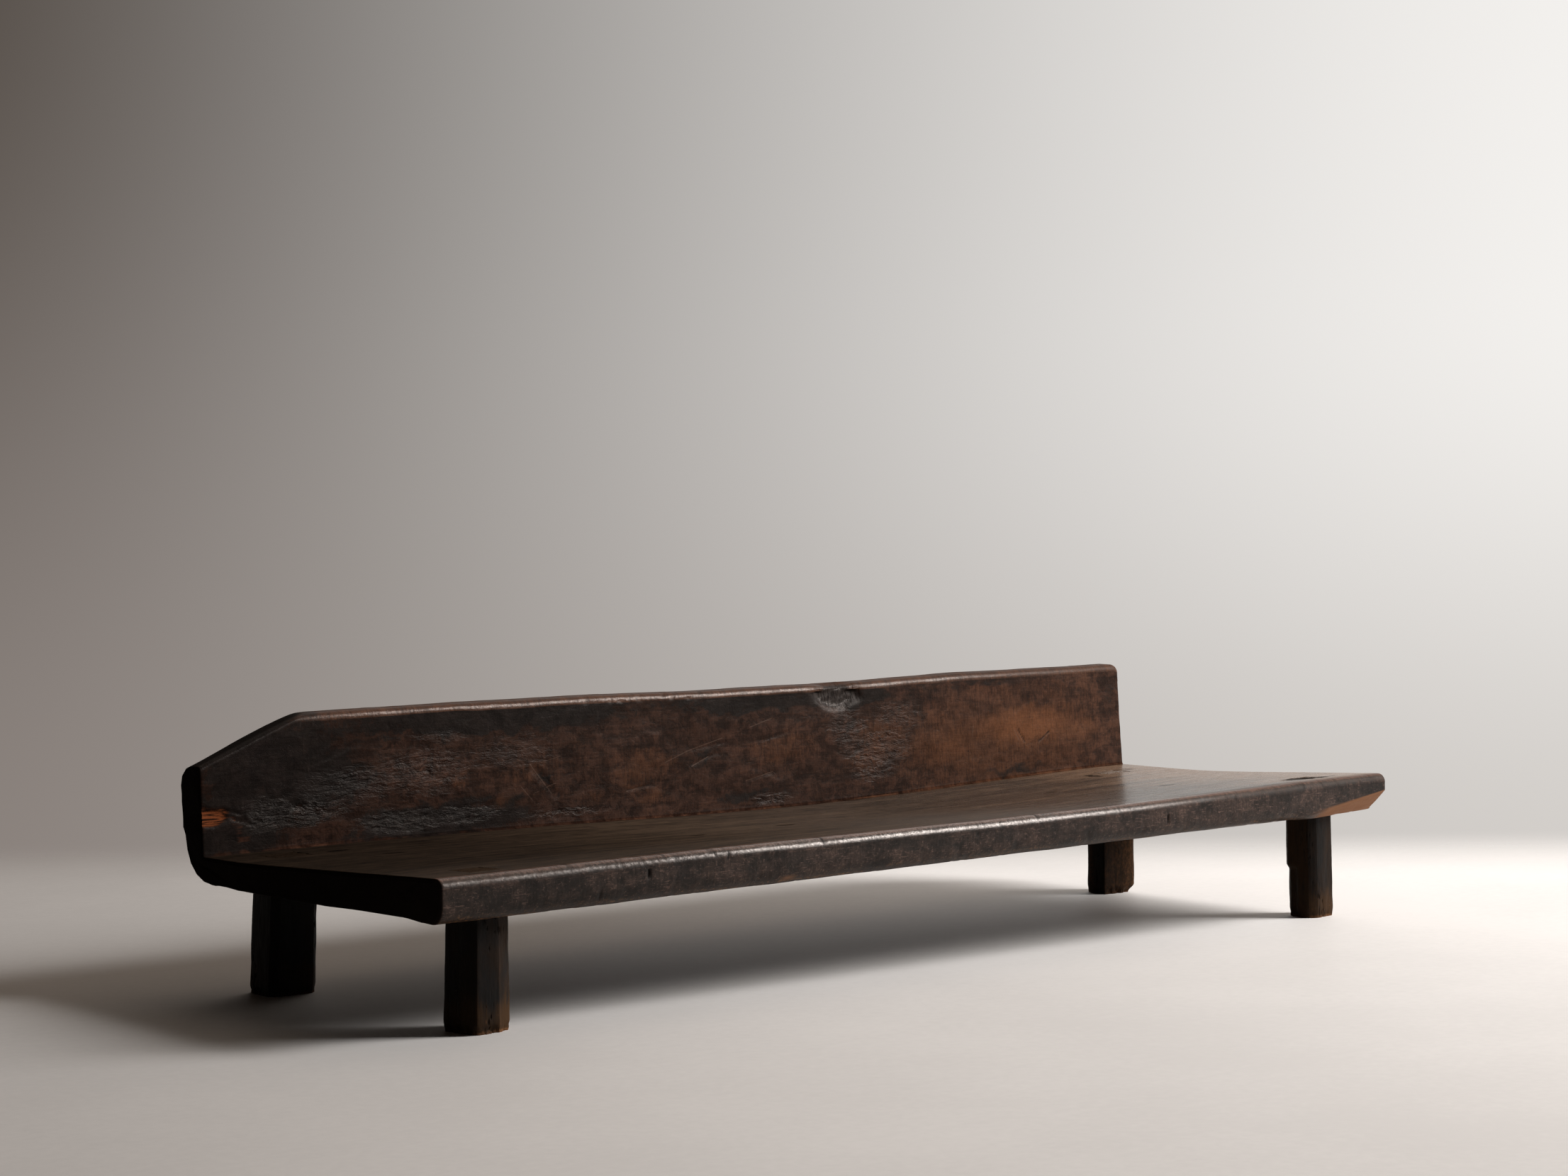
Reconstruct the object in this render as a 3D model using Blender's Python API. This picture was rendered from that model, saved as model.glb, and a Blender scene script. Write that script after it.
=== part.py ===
"""Low wooden bench: seat and back hewn from one log, on four wedged through-tenon legs.

Metres, +Z up, +X along the bench, -Y the open front. The origin is on the floor
under the middle of the bench. Every leg passes through the seat as a tenon, and a
wedge driven into the tenon's kerf from above locks it there.
"""
import math
from collections import namedtuple

import bmesh
import bpy
from mathutils import Vector

# Hewn log, overall
LENGTH = 2.000
DEPTH = 0.700
BACK_TOP = 0.416

# Seat slab: underside heights at the two ends, thickness at the front and at the back
UNDERSIDE_LEFT = 0.163
UNDERSIDE_RIGHT = 0.182
FRONT_THICKNESS = 0.066
REAR_THICKNESS = 0.044
# The seat is worn hollow: how deep, at its front edge and at the foot of the back
FRONT_HOLLOW = 0.004
REAR_HOLLOW = 0.015
HOLLOW_SKEW = 1.35
# Where the seat's backward slope levels out, measured from the front
SLOPE_RUN = 0.400

# Back rest
BACK_THICKNESS = 0.054
BACK_LEAN = 0.010
# The log's outer side is upright down to this height and then draws in to its heel
DRAW_IN_HEIGHT = 0.300
HEEL_LEAN = 0.012

# Edge radii around the section
FRONT_BOTTOM_RADIUS = 0.026
NOSE_RADIUS = 0.020
DISH_RADIUS = 1.200
COVE_RADIUS = 0.008
TOP_FRONT_RADIUS = 0.014
TOP_REAR_RADIUS = 0.018
DRAW_IN_RADIUS = 0.500
LOG_RADIUS = 0.080

# Sloped top corner at the left end of the back
LEFT_CHAMFER_RUN = 0.188
LEFT_CHAMFER_DROP = 0.074
# Sloped cut under the front edge at the right end
RIGHT_CUT_RUN = 0.245
RIGHT_CUT_RISE = 0.036
RIGHT_CUT_DEPTH = 0.037

# Legs: hewn square posts with taken-off corners. FROM_END and FROM_EDGE place the tenon,
# from the nearer end of the log and from its front or its outer back. The foot is wider
# than the top by FOOT_GROWTH, and stands FOOT_SHIFT along the bench from under the tenon.
FRONT_LEFT_WIDTH = 0.070
FRONT_LEFT_DEPTH = 0.072
FRONT_LEFT_FROM_END = 0.111
FRONT_LEFT_FROM_EDGE = 0.080
FRONT_LEFT_FOOT_GROWTH = 0.006
FRONT_LEFT_FOOT_SHIFT = -0.002

FRONT_RIGHT_WIDTH = 0.061
FRONT_RIGHT_DEPTH = 0.070
FRONT_RIGHT_FROM_END = 0.118
FRONT_RIGHT_FROM_EDGE = 0.075
FRONT_RIGHT_FOOT_GROWTH = 0.001
FRONT_RIGHT_FOOT_SHIFT = 0.004

BACK_LEFT_WIDTH = 0.082
BACK_LEFT_DEPTH = 0.074
BACK_LEFT_FROM_END = 0.102
BACK_LEFT_FROM_EDGE = 0.133
BACK_LEFT_FOOT_GROWTH = 0.002
BACK_LEFT_FOOT_SHIFT = -0.007

BACK_RIGHT_WIDTH = 0.076
BACK_RIGHT_DEPTH = 0.065
BACK_RIGHT_FROM_END = 0.127
BACK_RIGHT_FROM_EDGE = 0.153
BACK_RIGHT_FOOT_GROWTH = 0.001
BACK_RIGHT_FOOT_SHIFT = 0.000

LEG_CORNER = 0.011
TENON_SHOULDER = 0.008

# Wedges, lying along the bench and driven down into the tenons
WEDGE_DEPTH = 0.038
WEDGE_HEAD = 0.009
WEDGE_TIP = 0.003

# Gap left between pieces that touch
CLEARANCE = 0.0003

# Number of steps along the bench and around a full turn of an edge
STATIONS = 24
STEPS_PER_TURN = 20
# How far a cutter or a joined root runs past the faces it has to pass
OVERRUN = 0.020

Leg = namedtuple("Leg", "row side width depth from_end from_edge foot_growth foot_shift")
LEGS = (
    Leg("front", "left", FRONT_LEFT_WIDTH, FRONT_LEFT_DEPTH, FRONT_LEFT_FROM_END,
        FRONT_LEFT_FROM_EDGE, FRONT_LEFT_FOOT_GROWTH, FRONT_LEFT_FOOT_SHIFT),
    Leg("front", "right", FRONT_RIGHT_WIDTH, FRONT_RIGHT_DEPTH, FRONT_RIGHT_FROM_END,
        FRONT_RIGHT_FROM_EDGE, FRONT_RIGHT_FOOT_GROWTH, FRONT_RIGHT_FOOT_SHIFT),
    Leg("back", "left", BACK_LEFT_WIDTH, BACK_LEFT_DEPTH, BACK_LEFT_FROM_END,
        BACK_LEFT_FROM_EDGE, BACK_LEFT_FOOT_GROWTH, BACK_LEFT_FOOT_SHIFT),
    Leg("back", "right", BACK_RIGHT_WIDTH, BACK_RIGHT_DEPTH, BACK_RIGHT_FROM_END,
        BACK_RIGHT_FROM_EDGE, BACK_RIGHT_FOOT_GROWTH, BACK_RIGHT_FOOT_SHIFT),
)

HEWN_LOG = ("hewn_log", (0.052, 0.030, 0.022), 0.48)
POST_WOOD = ("post_wood", (0.045, 0.026, 0.018), 0.58)
WEDGE_WOOD = ("wedge_wood", (0.075, 0.045, 0.028), 0.60)


def make_collection(name, hidden=False):
    """Adds a collection to the scene; a hidden one holds cutters."""
    group = bpy.data.collections.new(name)
    bpy.context.scene.collection.children.link(group)
    group.hide_render = hidden
    return group


def make_material(name, colour, roughness):
    """Returns a plain wood finish of one colour."""
    finish = bpy.data.materials.new(name)
    finish.use_nodes = True
    shader = finish.node_tree.nodes["Principled BSDF"]
    shader.inputs["Base Color"].default_value = (*colour, 1.0)
    shader.inputs["Roughness"].default_value = roughness
    shader.inputs["Metallic"].default_value = 0.0
    return finish


def make_object(name, shape, group, parent=None, finish=None):
    """Turns a bmesh into a named object in a collection."""
    mesh = bpy.data.meshes.new(name)
    bmesh.ops.recalc_face_normals(shape, faces=shape.faces)
    shape.to_mesh(mesh)
    shape.free()
    made = bpy.data.objects.new(name, mesh)
    group.objects.link(made)
    made.parent = parent
    if finish is not None:
        mesh.materials.append(finish)
    return made


def make_cutter(name, shape, group, parent=None):
    """Turns a bmesh into a hidden wire object that only cuts or joins."""
    cutter = make_object(name, shape, group, parent)
    cutter.hide_render = True
    cutter.display_type = "WIRE"
    return cutter


def combine(target, tool, operation):
    """Adds an exact Boolean of the tool to the target."""
    modifier = target.modifiers.new(tool.name, "BOOLEAN")
    modifier.operation = operation
    modifier.solver = "EXACT"
    modifier.object = tool


def share(x):
    """How far along the bench x lies: 0 at the left end, 1 at the right end."""
    return x / LENGTH + 0.5


def underside(x):
    """Height of the seat's flat underside."""
    return UNDERSIDE_LEFT + (UNDERSIDE_RIGHT - UNDERSIDE_LEFT) * share(x)


def hollow(x):
    """Wear of the seat along its length: 0 at the ends, 1 where it is deepest."""
    along = min(max(share(x), 0.0), 1.0)
    return math.sin(math.pi * along ** HOLLOW_SKEW) ** 2


def seat_front(x):
    """Height of the seat's front edge, before it is rounded."""
    return underside(x) + FRONT_THICKNESS - FRONT_HOLLOW * hollow(x)


def seat_rear(x):
    """Height of the level stretch of seat in front of the back."""
    return underside(x) + REAR_THICKNESS - REAR_HOLLOW * hollow(x)


def seat_top(x, y):
    """Height of the seat at a place, sloping back from its front edge and then level."""
    run = min(max((y + DEPTH / 2) / SLOPE_RUN, 0.0), 1.0)
    return seat_front(x) + (seat_rear(x) - seat_front(x)) * run


def rounded(corners):
    """Outline through corners (y, z, radius), each one replaced by an arc.

    The arc touches both sides at radius * tan(turn / 2) from the corner. All sections
    turn by like angles, so they get equal numbers of points.
    """
    outline = []
    for index, (y, z, radius) in enumerate(corners):
        here = Vector((y, z))
        before = Vector(corners[index - 1][:2])
        after = Vector(corners[(index + 1) % len(corners)][:2])
        inward = (before - here).normalized()
        outward = (after - here).normalized()
        turn = math.pi - inward.angle(outward)
        bisector = (inward + outward).normalized()
        centre = here + bisector * (radius / math.cos(turn / 2))
        start = here + inward * (radius * math.tan(turn / 2)) - centre
        sign = 1 if inward.cross(outward) < 0 else -1
        steps = max(3, round(STEPS_PER_TURN * turn / (2 * math.pi)))
        for step in range(steps + 1):
            angle = sign * turn * step / steps
            cosine, sine = math.cos(angle), math.sin(angle)
            spoke = Vector((cosine * start.x - sine * start.y, sine * start.x + cosine * start.y))
            outline.append(centre + spoke)
    return outline


def section(x):
    """The log's L-shaped outline at x, from the front bottom edge round to the heel."""
    front = -DEPTH / 2
    rear = DEPTH / 2
    back_face = rear - BACK_THICKNESS - BACK_LEAN
    return rounded((
        (front, underside(x), FRONT_BOTTOM_RADIUS),
        (front, seat_front(x), NOSE_RADIUS),
        (front + SLOPE_RUN, seat_rear(x), DISH_RADIUS),
        (back_face, seat_rear(x), COVE_RADIUS),
        (back_face + BACK_LEAN, BACK_TOP, TOP_FRONT_RADIUS),
        (rear, BACK_TOP, TOP_REAR_RADIUS),
        (rear, DRAW_IN_HEIGHT, DRAW_IN_RADIUS),
        (rear - HEEL_LEAN, underside(x), LOG_RADIUS),
    ))


def loft(stations):
    """Closed skin through the sections at the given places along the bench."""
    shape = bmesh.new()
    rings = []
    for x in stations:
        rings.append([shape.verts.new((x, y, z)) for y, z in section(x)])
    for ring, following in zip(rings, rings[1:]):
        for index in range(len(ring)):
            shape.faces.new((ring[index - 1], ring[index], following[index], following[index - 1]))
    shape.faces.new(rings[0])
    shape.faces.new(list(reversed(rings[-1])))
    return shape


def slab_behind(a, b, c, size):
    """Cube with one face on the plane through three points, on the side their normal points to."""
    normal = (b - a).cross(c - a).normalized()
    shape = bmesh.new()
    bmesh.ops.create_cube(shape, size=size)
    turn = normal.to_track_quat("Z", "Y").to_matrix().to_4x4()
    bmesh.ops.transform(shape, matrix=turn, verts=shape.verts)
    bmesh.ops.translate(shape, vec=(a + b + c) / 3 + normal * size / 2, verts=shape.verts)
    return shape


def block(place):
    """Cube whose eight corners are moved to place(side_x, side_y, side_z), sides being -1 or 1."""
    shape = bmesh.new()
    bmesh.ops.create_cube(shape, size=2.0)
    for corner in shape.verts:
        corner.co = place(*(round(value) for value in corner.co))
    return shape


def leg_name(leg):
    """The leg's place in words."""
    return f"{leg.row}_{leg.side}"


def leg_centre(leg):
    """Where the middle of the leg's tenon stands, seen from above."""
    x = LENGTH / 2 - leg.from_end
    y = DEPTH / 2 - leg.from_edge
    return Vector((x if leg.side == "right" else -x, y if leg.row == "back" else -y, 0.0))


def post_shape(leg):
    """Post from the floor up to the seat's underside, with its four long corners taken off."""
    centre = leg_centre(leg)

    def corner(side_x, side_y, side_z):
        if side_z > 0:
            x = side_x * leg.width / 2
            return x, side_y * leg.depth / 2, underside(centre.x + x) - CLEARANCE
        grown = leg.foot_growth
        return (leg.foot_shift + side_x * (leg.width + grown) / 2, side_y * (leg.depth + grown) / 2, 0.0)

    shape = block(corner)
    upright = [edge for edge in shape.edges if abs(edge.verts[0].co.z - edge.verts[1].co.z) > OVERRUN]
    bmesh.ops.bevel(shape, geom=upright, offset=LEG_CORNER, segments=1, affect="EDGES")
    return shape


def tenon_shape(leg, gap=0.0, overrun=0.0):
    """Tenon of a leg, or with a gap and an overrun the mortise that takes it."""
    centre = leg_centre(leg)
    half_x = leg.width / 2 - TENON_SHOULDER + gap
    half_y = leg.depth / 2 - TENON_SHOULDER + gap

    def corner(side_x, side_y, side_z):
        x, y = side_x * half_x, side_y * half_y
        if side_z > 0:
            return x, y, seat_top(centre.x + x, centre.y + y) + overrun
        return x, y, underside(centre.x) - OVERRUN

    return block(corner)


def wedge_shape(leg, gap=0.0, overrun=0.0):
    """Wedge across a tenon, or with a gap and an overrun the kerf that takes it."""
    centre = leg_centre(leg)
    half_x = leg.width / 2 - TENON_SHOULDER + overrun
    taper = (WEDGE_HEAD - WEDGE_TIP) / WEDGE_DEPTH

    def corner(side_x, side_y, side_z):
        x = side_x * half_x
        if side_z > 0:
            y = side_y * ((WEDGE_HEAD + taper * overrun) / 2 + gap)
            return x, y, seat_top(centre.x + x, centre.y + y) + overrun
        return x, side_y * (WEDGE_TIP / 2 + gap), seat_top(centre.x, centre.y) - WEDGE_DEPTH - gap

    return block(corner)


def build_log(parts, cutters, frame, finish):
    """The seat and back: one lofted log, with its two end cuts and the four mortises."""
    stations = [LENGTH * (step / STATIONS - 0.5) for step in range(STATIONS + 1)]
    log = make_object("seat_and_back", loft(stations), parts, frame, finish)

    left, right, front, rear = -LENGTH / 2, LENGTH / 2, -DEPTH / 2, DEPTH / 2
    slope_foot = Vector((left, front, BACK_TOP - LEFT_CHAMFER_DROP))
    slope_head = Vector((left + LEFT_CHAMFER_RUN, front, BACK_TOP))
    slope_rear = Vector((left, rear, BACK_TOP - LEFT_CHAMFER_DROP))
    top_corner = slab_behind(slope_foot, slope_head, slope_rear, 2 * DEPTH)
    combine(log, make_cutter("cut_top_corner", top_corner, cutters, frame), "DIFFERENCE")

    cut_start = right - RIGHT_CUT_RUN
    fade = Vector((cut_start, front, underside(cut_start)))
    high = Vector((right, front, underside(right) + RIGHT_CUT_RISE))
    deep = Vector((right, front + RIGHT_CUT_DEPTH, underside(right)))
    under_corner = slab_behind(fade, deep, high, 2 * RIGHT_CUT_RUN)
    combine(log, make_cutter("cut_under_corner", under_corner, cutters, frame), "DIFFERENCE")

    for leg in LEGS:
        mortise = make_cutter(f"mortise_{leg_name(leg)}", tenon_shape(leg, CLEARANCE, OVERRUN), cutters, frame)
        mortise.location = leg_centre(leg)
        combine(log, mortise, "DIFFERENCE")


def build_leg(leg, parts, cutters, frame, finish):
    """One leg: a post with a through tenon on top, kerfed for its wedge."""
    name = leg_name(leg)
    post = make_object(f"leg_{name}", post_shape(leg), parts, frame, finish)
    post.location = leg_centre(leg)
    tenon = make_cutter(f"tenon_{name}", tenon_shape(leg), cutters, post)
    combine(post, tenon, "UNION")
    kerf = make_cutter(f"kerf_{name}", wedge_shape(leg, CLEARANCE, OVERRUN), cutters, post)
    combine(post, kerf, "DIFFERENCE")


def build_wedge(leg, parts, frame, finish):
    """The wedge that spreads one leg's tenon, flush with the seat."""
    wedge = make_object(f"wedge_{leg_name(leg)}", wedge_shape(leg), parts, frame, finish)
    wedge.location = leg_centre(leg)


def main():
    """Clears the scene and builds the bench."""
    for old in list(bpy.data.objects):
        bpy.data.objects.remove(old, do_unlink=True)
    parts = make_collection("monolithic_wooden_bench")
    cutters = make_collection("bench_cutters", hidden=True)
    frame = bpy.data.objects.new("bench_frame", None)
    parts.objects.link(frame)

    build_log(parts, cutters, frame, make_material(*HEWN_LOG))
    post_wood = make_material(*POST_WOOD)
    wedge_wood = make_material(*WEDGE_WOOD)
    for leg in LEGS:
        build_leg(leg, parts, cutters, frame, post_wood)
        build_wedge(leg, parts, frame, wedge_wood)


main()
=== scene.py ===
"""Looks of the hewn bench: one dark log cut to a seat and a low back, on four wedged posts."""

import logging
import math
from dataclasses import dataclass
from enum import Enum
from typing import Any, Callable, Union

import bmesh
import bpy
import numpy as np
from mathutils import Matrix, Vector


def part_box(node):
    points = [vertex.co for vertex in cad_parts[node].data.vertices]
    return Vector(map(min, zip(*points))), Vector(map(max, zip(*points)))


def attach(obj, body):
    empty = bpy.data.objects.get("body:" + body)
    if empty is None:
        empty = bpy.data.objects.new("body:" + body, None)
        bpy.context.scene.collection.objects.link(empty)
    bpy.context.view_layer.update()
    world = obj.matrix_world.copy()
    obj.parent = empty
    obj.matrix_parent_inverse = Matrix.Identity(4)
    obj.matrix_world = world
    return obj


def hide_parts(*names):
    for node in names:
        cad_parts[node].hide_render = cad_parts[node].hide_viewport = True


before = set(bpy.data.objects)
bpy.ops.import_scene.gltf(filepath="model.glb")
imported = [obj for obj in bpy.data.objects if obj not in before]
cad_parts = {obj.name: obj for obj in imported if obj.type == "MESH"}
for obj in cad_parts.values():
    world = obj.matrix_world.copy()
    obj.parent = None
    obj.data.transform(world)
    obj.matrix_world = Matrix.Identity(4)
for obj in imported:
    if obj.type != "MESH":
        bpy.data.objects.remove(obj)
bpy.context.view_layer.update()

LOGGER = logging.getLogger("bench")
BODY = "root"

Array = np.ndarray
Colour = tuple[float, float, float]
Pairs = tuple[tuple[float, float], ...]


def lerp(first: Any, last: Any, share: Any) -> Any:
    """Go from first to last by a share from 0 to 1."""
    return first + (last - first) * share


def smooth_step(start: Any, end: Any, value: Any) -> Any:
    """Rise from 0 at start to 1 at end along 3t^2 - 2t^3, held outside; start may lie above end."""
    share = np.clip((value - start) / (end - start), 0.0, 1.0)
    return share * share * (3.0 - 2.0 * share)


def lattice_random(column: Array, row: Array, seed: int) -> Array:
    """Give each lattice point its own number from 0 to 1, by mixing its two indices and a seed.

    Args:
        column: whole-number first indices.
        row: whole-number second indices.
        seed: picks one of many such lattices.

    Returns:
        One number for each lattice point, the same on every run.
    """
    word = 0xFFFFFFFF
    mixed = (column.astype(np.int64) * 374761393 + row.astype(np.int64) * 668265263 + seed * 144665) & word
    mixed = ((mixed ^ (mixed >> 13)) * 1274126177) & word
    mixed = ((mixed ^ (mixed >> 16)) * 739982445) & word
    return ((mixed ^ (mixed >> 15)) & 0xFFFFFF) / float(0xFFFFFF)


def waves(u: Array, v: Array, seed: int) -> Array:
    """Smooth noise from about -1 to 1: random slopes at lattice points, eased between them.

    Args:
        u: first coordinate, one lattice step for each unit.
        v: second coordinate.
        seed: picks the pattern.

    Returns:
        The noise at each point.
    """
    u, v = np.broadcast_arrays(np.asarray(u, float), np.asarray(v, float))
    cell_u, cell_v = np.floor(u), np.floor(v)
    part_u, part_v = u - cell_u, v - cell_v

    def corner(step_u: int, step_v: int) -> Array:
        """Height that one lattice corner's slope gives at each point."""
        angle = 2.0 * math.pi * lattice_random(cell_u + step_u, cell_v + step_v, seed)
        return np.cos(angle) * (part_u - step_u) + np.sin(angle) * (part_v - step_v)

    ease_u, ease_v = smooth_step(0.0, 1.0, part_u), smooth_step(0.0, 1.0, part_v)
    low = lerp(corner(0, 0), corner(1, 0), ease_u)
    high = lerp(corner(0, 1), corner(1, 1), ease_u)
    return 1.5 * lerp(low, high, ease_v)


def fractal(u: Array, v: Array, seed: int, octaves: int = 4, gain: float = 0.5) -> Array:
    """Sum of waves, each octave twice as fine and gain times as high as the one before.

    Args:
        u: first coordinate.
        v: second coordinate.
        seed: picks the pattern.
        octaves: how many layers are summed.
        gain: height of each layer against the one before.

    Returns:
        The summed noise at each point.
    """
    return sum(gain ** k * waves(u * 2 ** k, v * 2 ** k, seed + 17 * k) for k in range(octaves))


def scallops(u: Array, v: Array, seed: int) -> tuple[Array, Array]:
    """Tool marks: squared distance to the nearest of the scattered cell middles, and a number per cell.

    Args:
        u: first coordinate, one cell for each unit.
        v: second coordinate.
        seed: picks the scatter.

    Returns:
        The squared distance, 0 in a cell's middle, and the cell's own number from 0 to 1.
    """
    u, v = np.broadcast_arrays(np.asarray(u, float), np.asarray(v, float))
    nearest = np.full(u.shape, 9.0)
    own = np.zeros(u.shape)
    for step_u in (-1, 0, 1):
        for step_v in (-1, 0, 1):
            cell_u, cell_v = np.floor(u) + step_u, np.floor(v) + step_v
            middle_u = cell_u + lattice_random(cell_u, cell_v, seed)
            middle_v = cell_v + lattice_random(cell_u, cell_v, seed + 1)
            gap = (u - middle_u) ** 2 + (v - middle_v) ** 2
            own = np.where(gap < nearest, lattice_random(cell_u, cell_v, seed + 2), own)
            nearest = np.minimum(gap, nearest)
    return nearest, own


@dataclass(frozen=True)
class Patch:
    """An oval stretch of a face: its middle, half sizes, strength and turn."""

    x: float
    z: float
    length: float
    height: float
    amount: float = 1.0
    turn: float = 0.0

    def weight(self, x: Array, z: Array) -> Array:
        """Strength at each point: full in the middle, easing to nothing at the oval's rim.

        Args:
            x: places along the face.
            z: places across the face.

        Returns:
            The strength, from 0 to the patch's amount.
        """
        cosine, sine = math.cos(self.turn), math.sin(self.turn)
        along = ((x - self.x) * cosine + (z - self.z) * sine) / self.length
        across = ((z - self.z) * cosine - (x - self.x) * sine) / self.height
        return self.amount * smooth_step(1.0, 0.0, np.hypot(along, across))


@dataclass(frozen=True)
class Groove:
    """A straight mark cut into a face, from one point to another."""

    start: tuple[float, float]
    end: tuple[float, float]
    half_width: float
    depth: float
    flat: float = 0.0

    def weight(self, x: Array, z: Array) -> Array:
        """Share of the depth at each point: full over the flat share of the half width, then down to nothing.

        Args:
            x: places along the face.
            z: places across the face.

        Returns:
            The share, from 0 to 1.
        """
        run_x, run_z = self.end[0] - self.start[0], self.end[1] - self.start[1]
        along = ((x - self.start[0]) * run_x + (z - self.start[1]) * run_z) / (run_x ** 2 + run_z ** 2)
        along = np.clip(along, 0.0, 1.0)
        gap = np.hypot(x - self.start[0] - along * run_x, z - self.start[1] - along * run_z)
        return smooth_step(self.half_width, self.flat * self.half_width, gap)


def total_weight(marks: tuple, x: Array, z: Array) -> Array:
    """Strongest weight of several marks at each point."""
    return np.max(np.stack([mark.weight(x, z) for mark in marks]), axis=0)


class Shell:
    """Vertices, faces and vertex values of one piece, gathered surface by surface."""

    def __init__(self, value_names: tuple[str, ...]) -> None:
        """Start an empty shell whose vertices carry the named values."""
        self.value_names = value_names
        self.points: list[Array] = []
        self.values: dict[str, list[Array]] = {name: [] for name in value_names}
        self.quads: list[Array] = []
        self.triangles: list[Array] = []
        self.count = 0

    def add_points(self, points: Array, values: dict[str, Array]) -> Array:
        """Add a block of vertices.

        Args:
            points: places, with x, y and z along the last axis.
            values: vertex values by name, each of the block's shape; a missing one is 0.

        Returns:
            The vertices' numbers, in the block's shape.
        """
        shape = points.shape[:-1]
        size = int(np.prod(shape))
        numbers = np.arange(self.count, self.count + size).reshape(shape)
        self.points.append(points.reshape(-1, 3))
        for name in self.value_names:
            block = np.broadcast_to(values.get(name, 0.0), shape)
            self.values[name].append(block.reshape(-1))
        self.count += size
        return numbers

    def bridge(self, numbers: Array, keep: Union[Array, None] = None) -> None:
        """Fill an array of vertex numbers with quads between its rows and columns.

        Args:
            numbers: vertex numbers in rows and columns; a closed way round repeats its first row or column.
            keep: which cells are filled, all where it is left out.
        """
        cells = np.stack([numbers[:-1, :-1], numbers[1:, :-1], numbers[1:, 1:], numbers[:-1, 1:]], axis=-1)
        self.quads.append(cells[keep] if keep is not None else cells.reshape(-1, 4))

    def fan(self, middle: int, chain: Array) -> None:
        """Fill the triangles between one vertex and a chain of vertices."""
        self.triangles.append(np.stack([np.full(len(chain) - 1, middle), chain[:-1], chain[1:]], axis=-1))

    def wrap(self, numbers: Array) -> Array:
        """Fill rings of vertices all the way round.

        Args:
            numbers: vertex numbers, one row for each ring.

        Returns:
            The same rows, each ending on its first vertex again.
        """
        closed = np.concatenate([numbers, numbers[:, :1]], axis=1)
        self.bridge(closed)
        return closed

    def cap(self, closed: Array, middles: Array, values: dict[str, Array]) -> None:
        """Close the first and the last ring with fans about their middles.

        Args:
            closed: rings that end on their first vertex again.
            middles: places of the two middles.
            values: vertex values of the middles.
        """
        first, last = self.add_points(middles, values)
        self.fan(int(first), closed[0])
        self.fan(int(last), closed[-1])

    def zip(self, first: Array, first_at: Array, second: Array, second_at: Array) -> None:
        """Fill the strip between two chains of unlike counts, taking their steps in order of place.

        Args:
            first: vertex numbers of one chain.
            first_at: rising places of its vertices, from 0 to 1.
            second: vertex numbers of the other chain.
            second_at: rising places of the other's vertices.
        """
        first_middle = (first_at[:-1] + first_at[1:]) / 2.0
        second_middle = (second_at[:-1] + second_at[1:]) / 2.0
        across = second[np.searchsorted(second_middle, first_middle, side="left")]
        self.triangles.append(np.stack([first[:-1], first[1:], across], axis=-1))
        across = first[np.searchsorted(first_middle, second_middle, side="right")]
        self.triangles.append(np.stack([second[:-1], second[1:], across], axis=-1))

    def to_object(self, name: str, sharp_angle: float) -> bpy.types.Object:
        """Make the piece's mesh object, closed, shaded smooth and facing outwards.

        Args:
            name: the piece's name.
            sharp_angle: edges that bend by more than this many degrees stay crisp.

        Returns:
            The object, linked to the scene.
        """
        quads = np.concatenate(self.quads) if self.quads else np.zeros((0, 4), int)
        triangles = np.concatenate(self.triangles) if self.triangles else np.zeros((0, 3), int)
        corners = np.concatenate([quads.ravel(), triangles.ravel()]).astype(np.int32)
        starts = np.concatenate([np.arange(len(quads)) * 4, len(quads) * 4 + np.arange(len(triangles)) * 3])
        mesh = bpy.data.meshes.new(name)
        mesh.vertices.add(self.count)
        mesh.vertices.foreach_set("co", np.concatenate(self.points).astype(np.float32).ravel())
        mesh.loops.add(len(corners))
        mesh.loops.foreach_set("vertex_index", corners)
        mesh.polygons.add(len(starts))
        mesh.polygons.foreach_set("loop_start", starts.astype(np.int32))
        mesh.update(calc_edges=True)
        for value_name, blocks in self.values.items():
            layer = mesh.attributes.new(value_name, "FLOAT", "POINT")
            layer.data.foreach_set("value", np.concatenate(blocks).astype(np.float32))
        faces = bmesh.new()
        faces.from_mesh(mesh)
        bmesh.ops.recalc_face_normals(faces, faces=faces.faces)
        faces.to_mesh(mesh)
        faces.free()
        mesh.shade_smooth()
        mesh.set_sharp_from_angle(angle=math.radians(sharp_angle))
        piece = bpy.data.objects.new(name, mesh)
        bpy.context.scene.collection.objects.link(piece)
        return piece


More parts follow.
